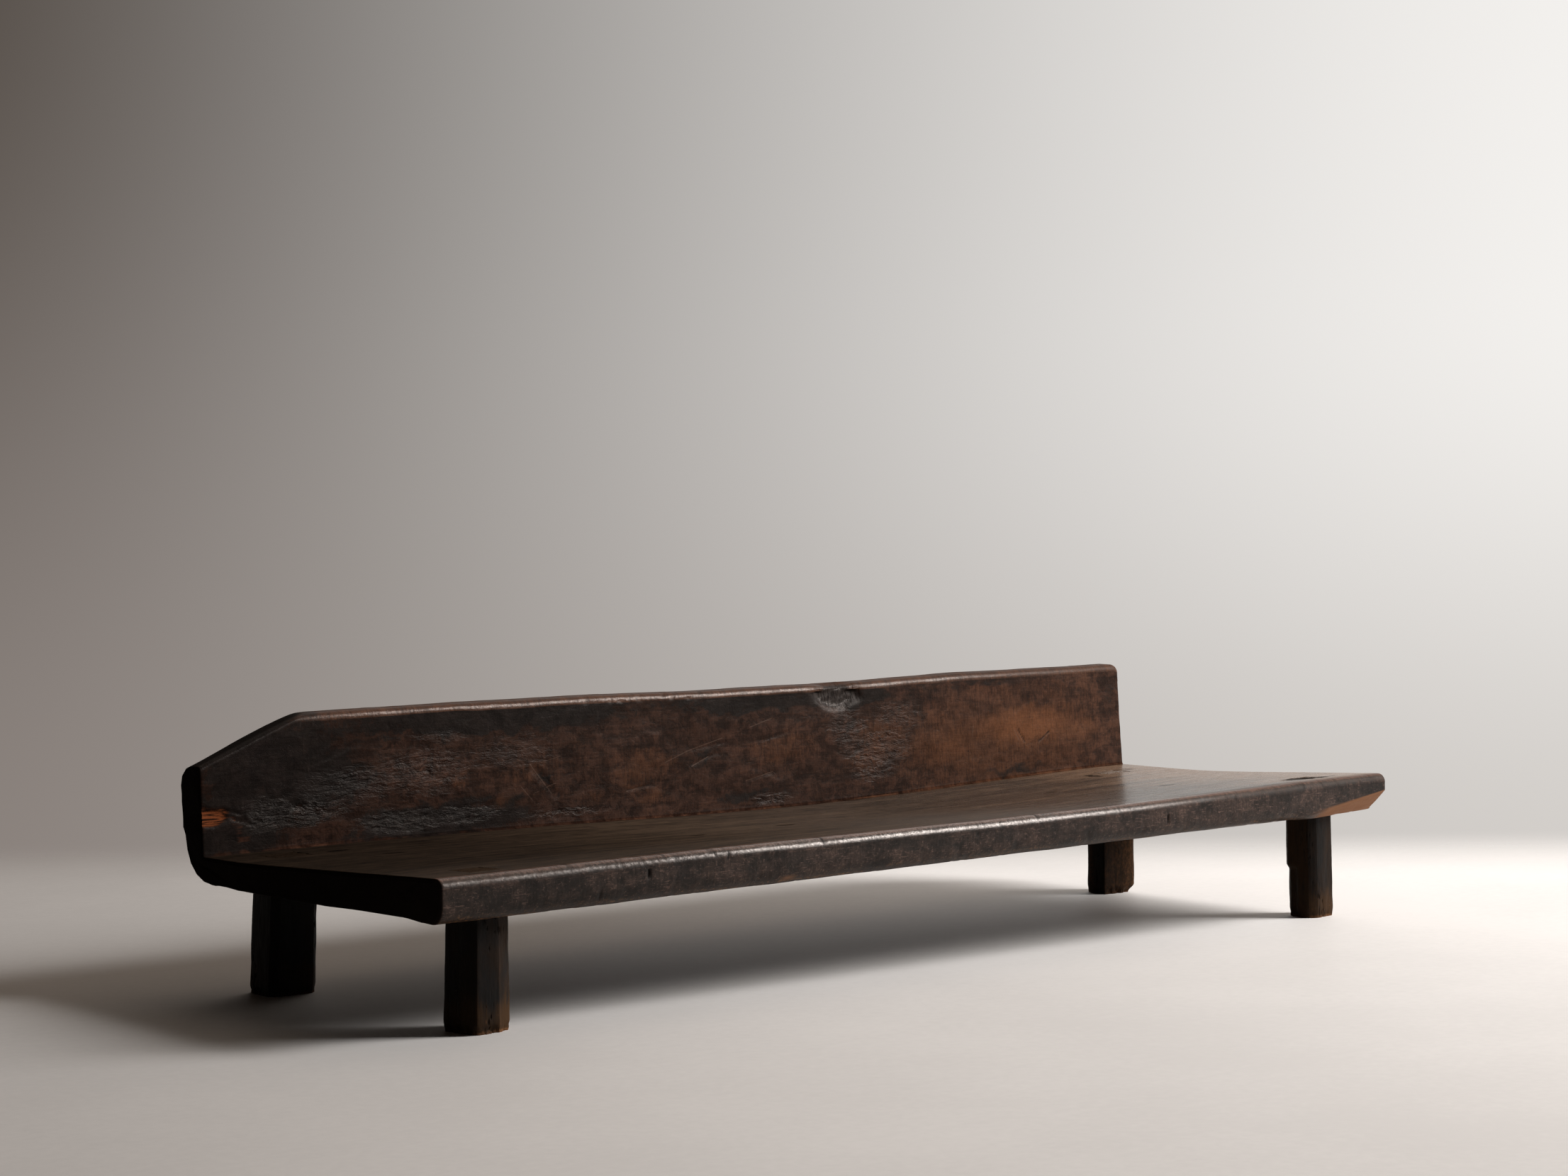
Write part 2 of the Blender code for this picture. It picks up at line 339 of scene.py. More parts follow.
class Tone:
    """A shader value: wraps a socket, so that sums and products of values add Math nodes."""

    def __init__(self, graph: "Graph", socket: bpy.types.NodeSocket) -> None:
        """Wrap an output socket of the graph."""
        self.graph = graph
        self.socket = socket

    def _math(self, operation: str, first: Any, second: Any) -> "Tone":
        """Add a Math node on two values."""
        return self.graph.tone("ShaderNodeMath", {"operation": operation}, {0: first, 1: second})

    def __add__(self, other: Any) -> "Tone":
        """Sum of two values."""
        return self._math("ADD", self, other)

    def __radd__(self, other: Any) -> "Tone":
        """Sum with a number on the left."""
        return self._math("ADD", other, self)

    def __sub__(self, other: Any) -> "Tone":
        """Difference of two values."""
        return self._math("SUBTRACT", self, other)

    def __rsub__(self, other: Any) -> "Tone":
        """Difference with a number on the left."""
        return self._math("SUBTRACT", other, self)

    def __mul__(self, other: Any) -> "Tone":
        """Product of two values."""
        return self._math("MULTIPLY", self, other)

    def __rmul__(self, other: Any) -> "Tone":
        """Product with a number on the left."""
        return self._math("MULTIPLY", other, self)

    def over(self, low: float, high: float) -> "Tone":
        """Rise smoothly from 0 at low to 1 at high, held outside; low may lie above high."""
        if low > high:
            return 1.0 - self.over(high, low)
        settings = {"interpolation_type": "SMOOTHSTEP"}
        inputs = {"Value": self, "From Min": low, "From Max": high}
        return self.graph.tone("ShaderNodeMapRange", settings, inputs)

    def clamp(self) -> "Tone":
        """Hold the value between 0 and 1."""
        return self.graph.tone("ShaderNodeClamp", {}, {"Value": self})


class Graph:
    """A node tree and the few ways its nodes are made."""

    def __init__(self, tree: bpy.types.NodeTree) -> None:
        """Start from an emptied tree."""
        self.tree = tree
        tree.nodes.clear()

    def node(self, kind: str, settings: dict[str, Any], inputs: dict[Any, Any]) -> bpy.types.Node:
        """Add a node: its settings first, then its sockets' values or links.

        Args:
            kind: the node's type.
            settings: properties of the node by name.
            inputs: values, sockets or tones by socket name or number.

        Returns:
            The node.
        """
        made = self.tree.nodes.new(kind)
        for name, value in settings.items():
            setattr(made, name, value)
        for key, value in inputs.items():
            source = value.socket if isinstance(value, Tone) else value
            if isinstance(source, bpy.types.NodeSocket):
                self.tree.links.new(source, made.inputs[key])
            elif isinstance(source, tuple) and made.inputs[key].type == "RGBA":
                made.inputs[key].default_value = (*source, 1.0)
            else:
                made.inputs[key].default_value = source
        return made

    def tone(self, kind: str, settings: dict[str, Any], inputs: dict[Any, Any], output: Any = 0) -> Tone:
        """Add a node and wrap one of its outputs."""
        return Tone(self, self.node(kind, settings, inputs).outputs[output])

    def places(self) -> Tone:
        """Places on the piece, in metres."""
        return self.tone("ShaderNodeTexCoord", {}, {}, "Object")

    def parts(self, places: Tone) -> tuple[Tone, Tone, Tone]:
        """Split places into their x, y and z."""
        split = self.node("ShaderNodeSeparateXYZ", {}, {0: places})
        return tuple(Tone(self, output) for output in split.outputs)

    def joined(self, x: Any, y: Any, z: Any) -> Tone:
        """Join three values into places."""
        return self.tone("ShaderNodeCombineXYZ", {}, {0: x, 1: y, 2: z})

    def scaled(self, colour: Tone, factor: Tone) -> Tone:
        """Make a colour lighter or darker by a factor."""
        return self.tone("ShaderNodeVectorMath", {"operation": "SCALE"}, {0: colour, "Scale": factor})

    def stretched(self, places: Tone, scale: tuple[float, float, float],
                  offset: tuple[float, float, float] = (0.0, 0.0, 0.0)) -> Tone:
        """Scale and shift places, so that a pattern on them is drawn out along an axis.

        Args:
            places: places on the piece.
            scale: pattern steps for each metre along each axis.
            offset: shift of the pattern.

        Returns:
            The new places.
        """
        return self.tone("ShaderNodeMapping", {}, {"Vector": places, "Scale": scale, "Location": offset})

    def noise(self, places: Tone, detail: float = 4.0, roughness: float = 0.55,
              distortion: float = 0.0) -> Tone:
        """Cloudy noise from 0 to 1 on stretched places.

        Args:
            places: stretched places.
            detail: how many finer layers are added.
            roughness: strength of the finer layers.
            distortion: how far the pattern swirls.

        Returns:
            The noise.
        """
        inputs = {"Vector": places, "Scale": 1.0, "Detail": detail, "Roughness": roughness,
                  "Distortion": distortion}
        return self.tone("ShaderNodeTexNoise", {}, inputs, "Fac")

    def cloud(self, places: Tone, scale: tuple[float, float, float], detail: float, roughness: float,
              distortion: float = 0.0) -> Tone:
        """Cloudy noise with so many pattern steps for each metre along each axis.

        Args:
            places: places on the piece.
            scale: pattern steps for each metre.
            detail: how many finer layers are added.
            roughness: strength of the finer layers.
            distortion: how far the pattern swirls.

        Returns:
            The noise.
        """
        return self.noise(self.stretched(places, scale), detail, roughness, distortion)

    def speckle(self, places: Tone) -> Tone:
        """Distance to the nearest of scattered points, on stretched places."""
        return self.tone("ShaderNodeTexVoronoi", {}, {"Vector": places, "Scale": 1.0}, "Distance")

    def value(self, name: str) -> Tone:
        """A vertex value of the piece."""
        return self.tone("ShaderNodeAttribute", {"attribute_name": name}, {}, "Fac")

    def mix(self, share: Any, first: Any, second: Any) -> Tone:
        """Colour between two colours.

        Args:
            share: 0 for the first colour, 1 for the second.
            first: a colour or a tone.
            second: a colour or a tone.

        Returns:
            The mixed colour.
        """
        settings = {"data_type": "RGBA"}
        return self.tone("ShaderNodeMix", settings, {0: share, 6: first, 7: second}, 2)

    def bump(self, height: Tone, distance: float, strength: float = 1.0,
             normal: Union[Tone, None] = None) -> Tone:
        """Normal tilted by a height.

        Args:
            height: height from 0 to 1.
            distance: metres that a height of 1 stands for.
            strength: share of the tilt that is used.
            normal: a normal already tilted, if there is one.

        Returns:
            The tilted normal.
        """
        inputs = {"Height": height, "Distance": distance, "Strength": strength}
        if normal is not None:
            inputs["Normal"] = normal
        return self.tone("ShaderNodeBump", {}, inputs)

    def dot(self, places: Tone, direction: tuple[float, float, float]) -> Tone:
        """How far places lie along a direction."""
        settings = {"operation": "DOT_PRODUCT"}
        return self.tone("ShaderNodeVectorMath", settings, {0: places, 1: direction}, "Value")

    def principled(self, inputs: dict[str, Any]) -> Tone:
        """A surface with these socket values."""
        return self.tone("ShaderNodeBsdfPrincipled", {}, inputs)

    def blend(self, share: Tone, first: Tone, second: Tone) -> Tone:
        """A surface between two surfaces: the first at 0, the second at 1."""
        return self.tone("ShaderNodeMixShader", {}, {0: share, 1: first, 2: second})

    def output(self, surface: Tone) -> None:
        """Let the material show a surface."""
        self.node("ShaderNodeOutputMaterial", {}, {"Surface": surface})


def new_material(name: str) -> tuple[bpy.types.Material, Graph]:
    """Make an empty node material.

    Args:
        name: the material's name.

    Returns:
        The material and its graph.
    """
    material = bpy.data.materials.new(name)
    material.use_nodes = True
    return material, Graph(material.node_tree)


LOG_VALUES = ("warm", "soot_and_shade", "polish", "dull", "torn", "raw", "seat", "front", "hem", "crack", "end", "cove",
              "ripple", "knot", "glint", "dry")
PATTERN_SHIFT = (3.1, 1.7, 0.4)
POST_VALUES = ("arris", "foot", "flush", "tone", "crack", "painted_side_shade")
SEAT_MARKS = (
    Patch(-0.779, 0.098, 0.022, 0.0080, 0.8), Patch(-0.809, 0.206, 0.022, 0.0100, 0.7),
    Patch(-0.071, 0.022, 0.022, 0.0100, 0.9), Patch(-0.319, -0.060, 0.018, 0.0100, 0.8),
    Patch(0.806, 0.177, 0.014, 0.0220, 0.9), Patch(0.924, 0.212, 0.026, 0.0200, 0.35),
    Patch(0.853, -0.2735, 0.046, 0.0270, 0.9), Patch(0.910, -0.290, 0.030, 0.0080, 0.7),
    Patch(0.580, 0.060, 0.024, 0.0080, 0.5), Patch(0.717, -0.090, 0.022, 0.0080, 0.5))

SCRATCHES = (
    Groove((-0.386, 0.310), (-0.345, 0.260), 0.0012, 0.6),
    Groove((-0.405, 0.274), (-0.376, 0.243), 0.0009, 0.5),
    Groove((-0.380, 0.262), (-0.336, 0.276), 0.0009, 0.5),
    Groove((-0.372, 0.310), (-0.290, 0.326), 0.0009, 0.4),
    Groove((-0.049, 0.286), (-0.012, 0.300), 0.0010, 0.6),
    Groove((-0.105, 0.296), (-0.058, 0.312), 0.0010, 0.5),
    Groove((-0.058, 0.312), (0.020, 0.330), 0.0010, 0.5),
    Groove((0.082, 0.345), (0.132, 0.358), 0.0010, 0.5),
    Groove((-0.190, 0.253), (-0.150, 0.259), 0.0010, 0.6),
    Groove((0.070, 0.254), (0.131, 0.266), 0.0010, 0.5),
    Groove((0.612, 0.319), (0.607, 0.296), 0.0010, 0.5),
    Groove((0.716, 0.306), (0.728, 0.286), 0.0010, 0.6))


def scratch_lines(graph: Graph) -> Tone:
    """Thin pale scratches on the back, each a straight line; its depth says how pale it is.

    Args:
        graph: the shader's graph.

    Returns:
        How pale each place is, from 0 to 1.
    """
    x, _, z = graph.parts(graph.places())
    pales = []
    for line in SCRATCHES:
        run_x, run_z = line.end[0] - line.start[0], line.end[1] - line.start[1]
        from_x, from_z = x - line.start[0], z - line.start[1]
        along = ((from_x * run_x + from_z * run_z) * (1.0 / (run_x ** 2 + run_z ** 2))).clamp()
        off_x, off_z = from_x - along * run_x, from_z - along * run_z
        rim = line.half_width ** 2
        pales.append((off_x * off_x + off_z * off_z).over(rim, 0.1 * rim) * line.depth)
    return sum(pales[1:], pales[0]).clamp()


def seat_marks(graph: Graph) -> Tone:
    """Dark dents and open joints on the seat, each an oval with a ragged rim.

    Args:
        graph: the shader's graph.

    Returns:
        How dark each place is, from 0 to 1.
    """
    places = graph.places()
    x, y, _ = graph.parts(places)
    ragged = (graph.cloud(places, (26.0, 120.0, 120.0), 5.0, 0.65) - 0.5) * 3.2
    darks = []
    for mark in SEAT_MARKS:
        along, across = (x - mark.x) * (1.0 / mark.length), (y - mark.z) * (1.0 / mark.height)
        oval = along * along + across * across
        dark = (1.0 - oval + ragged).over(0.0, 0.6) * mark.amount
        darks.append(dark * (1.6 - oval).over(0.0, 0.3))
    return sum(darks[1:], darks[0]).clamp()


@dataclass(frozen=True)
class LogPatterns:
    """Patterns that the log's colours and relief share, drawn on places in metres."""

    places: Tone
    grain: Tone
    fine: Tone
    brush: Tone
    blotch: Tone
    mottle: Tone
    dust: Tone
    pores: Tone
    holes: Tone

    @classmethod
    def on(cls, graph: Graph) -> "LogPatterns":
        """Draw the patterns in a graph.

        Args:
            graph: the shader's graph.

        Returns:
            Grain along the log, its fine part, rubs across it, hand-sized and finger-sized patches,
            specks, short dashes and worm holes.
        """
        places = graph.places()

        def noise(scale: tuple[float, float, float], detail: float, roughness: float,
                  swirl: float = 0.0) -> Tone:
            """Cloudy noise with this many steps for each metre."""
            return graph.noise(graph.stretched(places, scale, PATTERN_SHIFT), detail, roughness, swirl)

        mottle = noise((36.0, 50.0, 46.0), 7.0, 0.70, 0.4)
        holes = graph.speckle(graph.stretched(places, (27.0, 27.0, 27.0))).over(0.050, 0.028)
        return cls(places=places, grain=noise((8.0, 90.0, 120.0), 7.0, 0.64, 0.25),
                   fine=noise((36.0, 430.0, 520.0), 3.0, 0.6),
                   brush=noise((260.0, 60.0, 46.0), 4.0, 0.65, 0.2),
                   blotch=noise((9.0, 20.0, 17.0), 8.0, 0.68, 0.5), mottle=mottle,
                   dust=noise((210.0, 180.0, 220.0), 5.0, 0.72),
                   pores=noise((24.0, 330.0, 330.0), 2.0, 0.5).over(0.39, 0.31),
                   holes=holes * mottle.over(0.47, 0.51))


@dataclass(frozen=True)
class LogFinish:
    """Finish of the log: dark patina, worn warm in patches, polished on the edges, raw where cut."""

    soot_and_shade_black: Colour = (0.0105, 0.0080, 0.0070)
    dark_brown: Colour = (0.0185, 0.0092, 0.0064)
    red_brown: Colour = (0.052, 0.0235, 0.0148)
    orange_brown: Colour = (0.165, 0.062, 0.0255)
    ash: Colour = (0.060, 0.047, 0.041)
    scratch: Colour = (0.135, 0.082, 0.060)
    seat_dark: Colour = (0.030, 0.0190, 0.0125)
    seat_light: Colour = (0.098, 0.062, 0.0400)
    seat_worn: Colour = (0.235, 0.142, 0.088)
    front_dark: Colour = (0.0140, 0.0117, 0.0107)
    front_brown: Colour = (0.058, 0.0375, 0.0300)
    front_scuff: Colour = (0.115, 0.072, 0.058)
    hem_brown: Colour = (0.028, 0.0165, 0.0105)
    hem_gold: Colour = (0.200, 0.100, 0.040)
    worn_edge: Colour = (0.145, 0.074, 0.051)
    polish_tint: Colour = (1.0, 0.87, 0.79)
    hewn_tint: Colour = (1.0, 0.86, 0.76)
    torn_fibre: Colour = (0.235, 0.068, 0.025)
    raw_cut: Colour = (0.225, 0.112, 0.060)
    cove_line: Colour = (0.130, 0.056, 0.029)
    crack_black: Colour = (0.004, 0.003, 0.003)
    # partly painted shade: end grain is dark, and this colour is darkened further so the unlit left end reads
    # black
    end_grain_and_shade: Colour = (0.006, 0.0043, 0.0035)
    broad_fibres: float = 100.0
    thin_fibres: float = 270.0

    def back_colour(self, graph: Graph, pattern: LogPatterns) -> Tone:
        """Colour of the back and of all hewn faces: brown wood, warm where rubbed, black where sooty and
        where shade is painted.

        Args:
            graph: the shader's graph.
            pattern: the log's patterns.

        Returns:
            The colour.
        """
        blotch, mottle, brush = pattern.blotch - 0.5, pattern.mottle - 0.5, pattern.brush - 0.5
        warm = graph.value("warm")
        lively = 1.0 - warm.over(0.0, 0.6) * 0.80
        streak = (pattern.grain * 0.30 + pattern.mottle * 0.50 + pattern.brush * 0.20).over(0.38, 0.62)
        wood = graph.mix(streak, self.dark_brown, self.red_brown)
        heat = warm + (mottle * 1.0 + blotch * 0.9) * lively + brush * 0.6
        wood = graph.mix(heat.over(0.12, 1.30), wood, self.orange_brown)
        # black where sooty, and painted shade where the value stands for shade, as on the left slope's top
        soot_and_shade_mix = graph.value("soot_and_shade") * 1.1 + (blotch * 1.7 + mottle * 1.1) * lively + brush * 0.5
        wood = graph.mix(soot_and_shade_mix.over(0.32, 0.60) * 0.92, wood, self.soot_and_shade_black)
        flaked = pattern.blotch.over(0.47, 0.53) * 0.26 + pattern.mottle.over(0.475, 0.525) * 0.26
        worn = (pattern.fine * 0.35 + pattern.dust * 0.45 + pattern.brush * 0.20).over(0.32, 0.68) * 0.46
        wood = graph.scaled(wood, 0.77 + (flaked - 0.26) * lively + worn)
        scratched = pattern.brush.over(0.64, 0.70) * 0.25 + pattern.fine.over(0.66, 0.74) * 0.20
        wood = graph.mix(scratched * pattern.mottle.over(0.40, 0.60), wood, self.ash)
        return graph.mix(scratch_lines(graph) * pattern.mottle.over(0.36, 0.52), wood, self.scratch)

    def seat_colour(self, graph: Graph, pattern: LogPatterns) -> Tone:
        """Colour of the seat: brown streaks along the log with dark dashes, paler where worn.

        Args:
            graph: the shader's graph.
            pattern: the log's patterns.

        Returns:
            The colour.
        """
        band = graph.cloud(pattern.places, (2.4, 27.0, 27.0), 5.0, 0.62, 0.3)
        streak = (pattern.grain * 0.40 + band * 0.30 + pattern.mottle * 0.30).over(0.36, 0.64)
        wood = graph.mix(streak, self.seat_dark, self.seat_light)
        # darker where the shared soot-and-shade value is high
        wood = graph.scaled(wood, 1.0 - (graph.value("soot_and_shade") + (pattern.blotch - 0.5) * 0.5).clamp() * 0.66)
        wear = graph.value("warm") + (pattern.grain - 0.5) * 0.8
        wear = wear + (band - 0.5) * 1.2 + (pattern.mottle - 0.5) * 0.4
        wood = graph.mix(wear.over(0.20, 1.10), wood, self.seat_worn)
        wood = graph.mix(pattern.pores * 0.8, wood, self.crack_black)
        return graph.mix(seat_marks(graph), wood, self.crack_black)

    def front_colour(self, graph: Graph, pattern: LogPatterns) -> Tone:
        """Colour of the front face: charcoal with brown patches and pale specks, brown along its lower edge.

        Args:
            graph: the shader's graph.
            pattern: the log's patterns.

        Returns:
            The colour.
        """
        patch = pattern.blotch * 0.45 + pattern.mottle * 0.55
        wood = graph.mix(patch.over(0.41, 0.66) * 0.9, self.front_dark, self.front_brown)
        wood = graph.scaled(wood, 0.70 + (pattern.dust * 0.5 + pattern.brush * 0.5).over(0.32, 0.68) * 0.60)
        specks = (pattern.dust * 0.72 + patch * 0.28).over(0.555, 0.615)
        wood = graph.mix(specks * 0.75, wood, self.front_scuff)
        dashes = graph.cloud(pattern.places, (75.0, 9.0, 430.0), 2.0, 0.5).over(0.605, 0.66)
        scratches = graph.cloud(pattern.places, (560.0, 9.0, 15.0), 2.0, 0.5).over(0.60, 0.68)
        lines = (dashes * 0.65 + scratches * 0.35) * (0.25 + pattern.blotch.over(0.40, 0.58) * 0.75)
        wood = graph.mix(lines.clamp(), wood, self.front_scuff)
        hem = (graph.value("hem") + (pattern.mottle - 0.5) * 0.9).over(0.22, 0.80)
        wood = graph.mix(hem * 0.9, wood, self.hem_brown)
        gold = (pattern.dust * 0.6 + pattern.grain * 0.4).over(0.53, 0.60)
        return graph.mix(gold * hem * 0.85, wood, self.hem_gold)

    def fibres(self, graph: Graph, pattern: LogPatterns) -> tuple[Tone, Tone]:
        """Torn grain: short fibres lifted along the log, broad ones with thin ones over them.

        Args:
            graph: the shader's graph.
            pattern: the log's patterns.

        Returns:
            Height of the fibres, and their lit crests, both from 0 to 1.
        """
        along, _, up = graph.parts(pattern.places)
        sway = graph.cloud(pattern.places, (13.0, 1.0, 28.0), 4.0, 0.6) - 0.5
        drawn = graph.joined(along * 26.0, 0.3, up * self.broad_fibres + sway * 4.0)
        broad = graph.noise(drawn, 3.0, 0.55, 0.3)
        drawn = graph.joined(along * 62.0, 0.7, up * self.thin_fibres + sway * 8.0)
        thin = graph.noise(drawn, 3.0, 0.60, 0.2)
        height = broad.over(0.38, 0.62) * 0.62 + thin.over(0.40, 0.62) * 0.38
        return height, thin.over(0.52, 0.64) * broad.over(0.42, 0.58)

    def material(self) -> bpy.types.Material:
        """Build the shader: the faces' colours, mixed by the log's vertex values, with gloss and relief.

        Returns:
            The material.
        """
        material, graph = new_material("hewn_log_patina")
        pattern = LogPatterns.on(graph)
        names = ("seat", "front", "polish", "torn", "raw", "end", "ripple", "crack", "knot")
        seat, front, polish, torn, raw, end, ripple, crack, knot = (graph.value(name) for name in names)
        fibres, crest = self.fibres(graph, pattern)

        colour = self.back_colour(graph, pattern)
        # painted highlight and shade: the torn fibres' crests are painted lighter and the rest of the torn
        # grain darker
        colour = graph.scaled(colour, 1.0 + ripple * (crest * 0.9 - 0.22))
        scooped = knot * (pattern.brush * 0.7 + pattern.dust * 0.3).over(0.40, 0.60)
        colour = graph.mix(scooped * 0.75, colour, self.ash)
        colour = graph.mix(pattern.holes, colour, self.crack_black)
        colour = graph.mix(seat, colour, self.seat_colour(graph, pattern))
        line = graph.value("cove") + (pattern.mottle - 0.5) * 1.6 + (pattern.grain - 0.5) * 0.8
        colour = graph.mix(line.over(0.45, 1.0) * 0.60, colour, self.cove_line)
        colour = graph.mix(front, colour, self.front_colour(graph, pattern))
        rub = polish * 1.1 + (pattern.brush - 0.5) * 1.0 + (pattern.dust - 0.5) * 1.1
        colour = graph.mix(rub.over(0.35, 0.90) * 0.9, colour, self.worn_edge)
        nicks = graph.cloud(pattern.places, (380.0, 70.0, 70.0), 2.0, 0.5).over(0.40, 0.34)
        colour = graph.mix(nicks * polish.over(0.15, 0.6) * 0.7, colour, self.crack_black)

        strands = graph.cloud(pattern.places, (16.0, 260.0, 300.0), 4.0, 0.6, 0.3)
        fibre = graph.mix(strands.over(0.42, 0.60), self.dark_brown, self.torn_fibre)
        colour = graph.mix(torn, colour, fibre)
        cut = graph.mix(pattern.grain.over(0.30, 0.70) * 0.4, self.raw_cut, self.orange_brown)
        colour = graph.mix(raw, colour, cut)
        colour = graph.mix(crack, colour, self.crack_black)

        gloss = 0.36 - seat * 0.10 - polish * 0.12 + front * 0.04
        gloss = gloss + (pattern.fine - 0.5) * 0.14 + (pattern.mottle - 0.5) * 0.25
        matt = graph.value("dull") * 0.35 + torn * 0.45 + raw * 0.25 + crack * 0.40
        matt = matt + ripple * (0.03 + pattern.blotch.over(0.40, 0.60) * 0.16)
        hair = pattern.grain * 0.55 + pattern.fine * 0.25 + pattern.brush * 0.20 - pattern.pores * seat * 0.4
        normal = graph.bump(hair, 0.0008, 0.45)
        normal = graph.bump(pattern.mottle * (1.0 - seat), 0.0026, 0.35, normal)
        normal = graph.bump(pattern.dust * (1.0 - seat * 0.6), 0.0009, 0.35, normal)
        normal = graph.bump(fibres * ripple, 0.0017, 0.90, normal)
        normal = graph.bump(pattern.brush * knot, 0.0022, 0.80, normal)
        hewn = graph.principled({
            "Base Color": colour, "Roughness": (gloss + matt).clamp(), "Normal": normal,
            "Specular IOR Level": 0.14, "Specular Tint": self.hewn_tint})
        pitted = 0.20 + (pattern.dust * 0.65 + pattern.brush * 0.35).over(0.42, 0.56) * 0.80
        polished = graph.principled({
            "Base Color": colour, "Roughness": (0.25 + (pattern.dust - 0.5) * 0.3).clamp(), "Normal": normal,
            "Specular IOR Level": 0.90, "Specular Tint": self.polish_tint})
        glint = (graph.value("glint") * pitted * (1.0 - crack)).clamp()
        rubbed = graph.blend(glint, hewn, polished)
        # the ends, the left end's arris and the left slope's top take the near-black end-grain colour, partly
        # painted shade
        dry = graph.principled({
            "Base Color": graph.mix(end * 0.97, colour, self.end_grain_and_shade), "Roughness": 1.0, "Normal": normal,
            "Specular IOR Level": 0.0})
        share = (end * 0.97 + graph.value("dry") + seat_marks(graph) * seat * 0.9).clamp()
        graph.output(graph.blend(share, rubbed, dry))
        return material


@dataclass(frozen=True)
class PostFinish:
    """Finish of a post: charcoal patina over golden brown wood, grain up the post, tan worn foot."""

    name: str = "post_patina"
    patina: Colour = (0.0185, 0.0155, 0.0138)
    brown: Colour = (0.040, 0.0205, 0.0105)
    arris_brown: Colour = (0.066, 0.034, 0.020)
    foot_gold: Colour = (0.085, 0.041, 0.016)
    foot_tan: Colour = (0.230, 0.105, 0.046)
    flush_brown: Colour = (0.140, 0.087, 0.056)
    crack_black: Colour = (0.003, 0.0025, 0.002)

    def material(self) -> bpy.types.Material:
        """Build the shader: grain drawn out up the post, mixed by the post's vertex values.

        Returns:
            The material.
        """
        material, graph = new_material(self.name)
        places = graph.places()
        fibre = graph.cloud(places, (150.0, 150.0, 9.0), 6.0, 0.64, 0.3)
        fine = graph.cloud(places, (560.0, 560.0, 36.0), 3.0, 0.6)
        cloud = graph.cloud(places, (26.0, 26.0, 14.0), 6.0, 0.66, 0.5)
        specks = graph.cloud(places, (240.0, 240.0, 150.0), 4.0, 0.7)
        arris, foot = graph.value("arris"), graph.value("foot")
        grain = fibre * 0.6 + fine * 0.4 - 0.5
        colour = graph.mix((grain * 1.4 + (cloud - 0.5) * 3.0 + 0.34).clamp(), self.patina, self.brown)
        rub = (arris + grain * 1.2 + (cloud - 0.5) * 1.4 + (specks - 0.5) * 0.8).over(0.40, 1.05)
        colour = graph.mix(rub * 0.8, colour, self.arris_brown)
        stain = (foot * 1.3 + grain * 1.1 + (cloud - 0.5) * 1.3).over(0.22, 0.75)
        colour = graph.mix(stain * 0.8, colour, self.foot_gold)
        scuffed = (foot * 1.1 + grain * 1.0 + (specks - 0.5) * 1.2).over(0.70, 1.05)
        colour = graph.mix(scuffed * 0.9, colour, self.foot_tan)
        split = (fibre * 0.5 + fine * 0.5).over(0.38, 0.31)
        colour = graph.mix(split * 0.6, colour, self.crack_black)
        # painted shade: each side of the post is painted darker by its own factor
        colour = graph.scaled(colour, graph.value("painted_side_shade"))
        flush = graph.value("flush")
        tone = graph.value("tone")
        band = graph.cloud(places, (20.0, 90.0, 20.0), 4.0, 0.6)
        colour = graph.mix(flush, colour, graph.scaled(self.flush_brown, tone * (0.6 + band * 0.8)))
        marks = seat_marks(graph)
        colour = graph.mix(flush * marks, colour, self.crack_black)
        colour = graph.mix(graph.value("crack"), colour, self.crack_black)
        roughness = (0.55 + (fine - 0.5) * 0.2 + (cloud - 0.5) * 0.2 + scuffed * 0.2 - arris * 0.08).clamp()
        normal = graph.bump(fibre * 0.5 + fine * 0.3 + specks * 0.2, 0.0020, 0.55)
        shader = graph.principled({
            "Base Color": colour, "Roughness": roughness, "Normal": normal, "Specular IOR Level": 0.06,
            "Coat Weight": tone.over(0.4, 1.0) * (1.0 - marks) * 0.45, "Coat Roughness": 0.30})
        dry = graph.principled({
            "Base Color": colour, "Roughness": 1.0, "Normal": normal, "Specular IOR Level": 0.0})
        dull = flush * (tone.over(0.8, 0.3) + marks).clamp()
        graph.output(graph.blend(dull, shader, dry))
        return material


class Run(Enum):
    """Stretches of the log's outline, in the order they go round it."""

    FRONT_BOTTOM = 0
    FRONT = 1
    NOSE = 2
    SEAT = 3
    COVE = 4
    BACK = 5
    TOP_FRONT = 6
    TOP = 7
    TOP_REAR = 8
    OUTER = 9
    HEEL = 10
    UNDERSIDE = 11


ADZE_DEPTH = {
    Run.FRONT_BOTTOM: 0.0006, Run.FRONT: 0.0004, Run.NOSE: 0.0003, Run.SEAT: 0.0003, Run.COVE: 0.0004,
    Run.BACK: 0.0007, Run.TOP_FRONT: 0.0004, Run.TOP: 0.0003, Run.TOP_REAR: 0.0006, Run.OUTER: 0.0022,
    Run.HEEL: 0.0024, Run.UNDERSIDE: 0.0024}


@dataclass(frozen=True)
class Mortise:
    """A square hole through the seat: its middle and half sizes."""

    x: float
    y: float
    half_width: float
    half_depth: float


@dataclass
class Outline:
    """The log's rings: places, the stretch each column belongs to, and the way round in metres."""

    x: Array
    y: Array
    z: Array
    run: list[Run]
    around: Array

    def on(self, *runs: Run) -> Array:
        """1 for columns on the named stretches, 0 for the others."""
        return np.array([run in runs for run in self.run], float)[None, :]

    def columns(self, run: Run) -> Array:
        """Numbers of the columns on one stretch."""
        return np.array([k for k, own in enumerate(self.run) if own is run])

    def ramp(self, run: Run, first: float, last: float) -> Array:
        """Values that go evenly from first to last over one stretch's columns, 0 on the others."""
        columns = self.columns(run)
        weight = np.zeros(len(self.run))
        weight[columns] = np.linspace(first, last, len(columns))
        return weight[None, :]


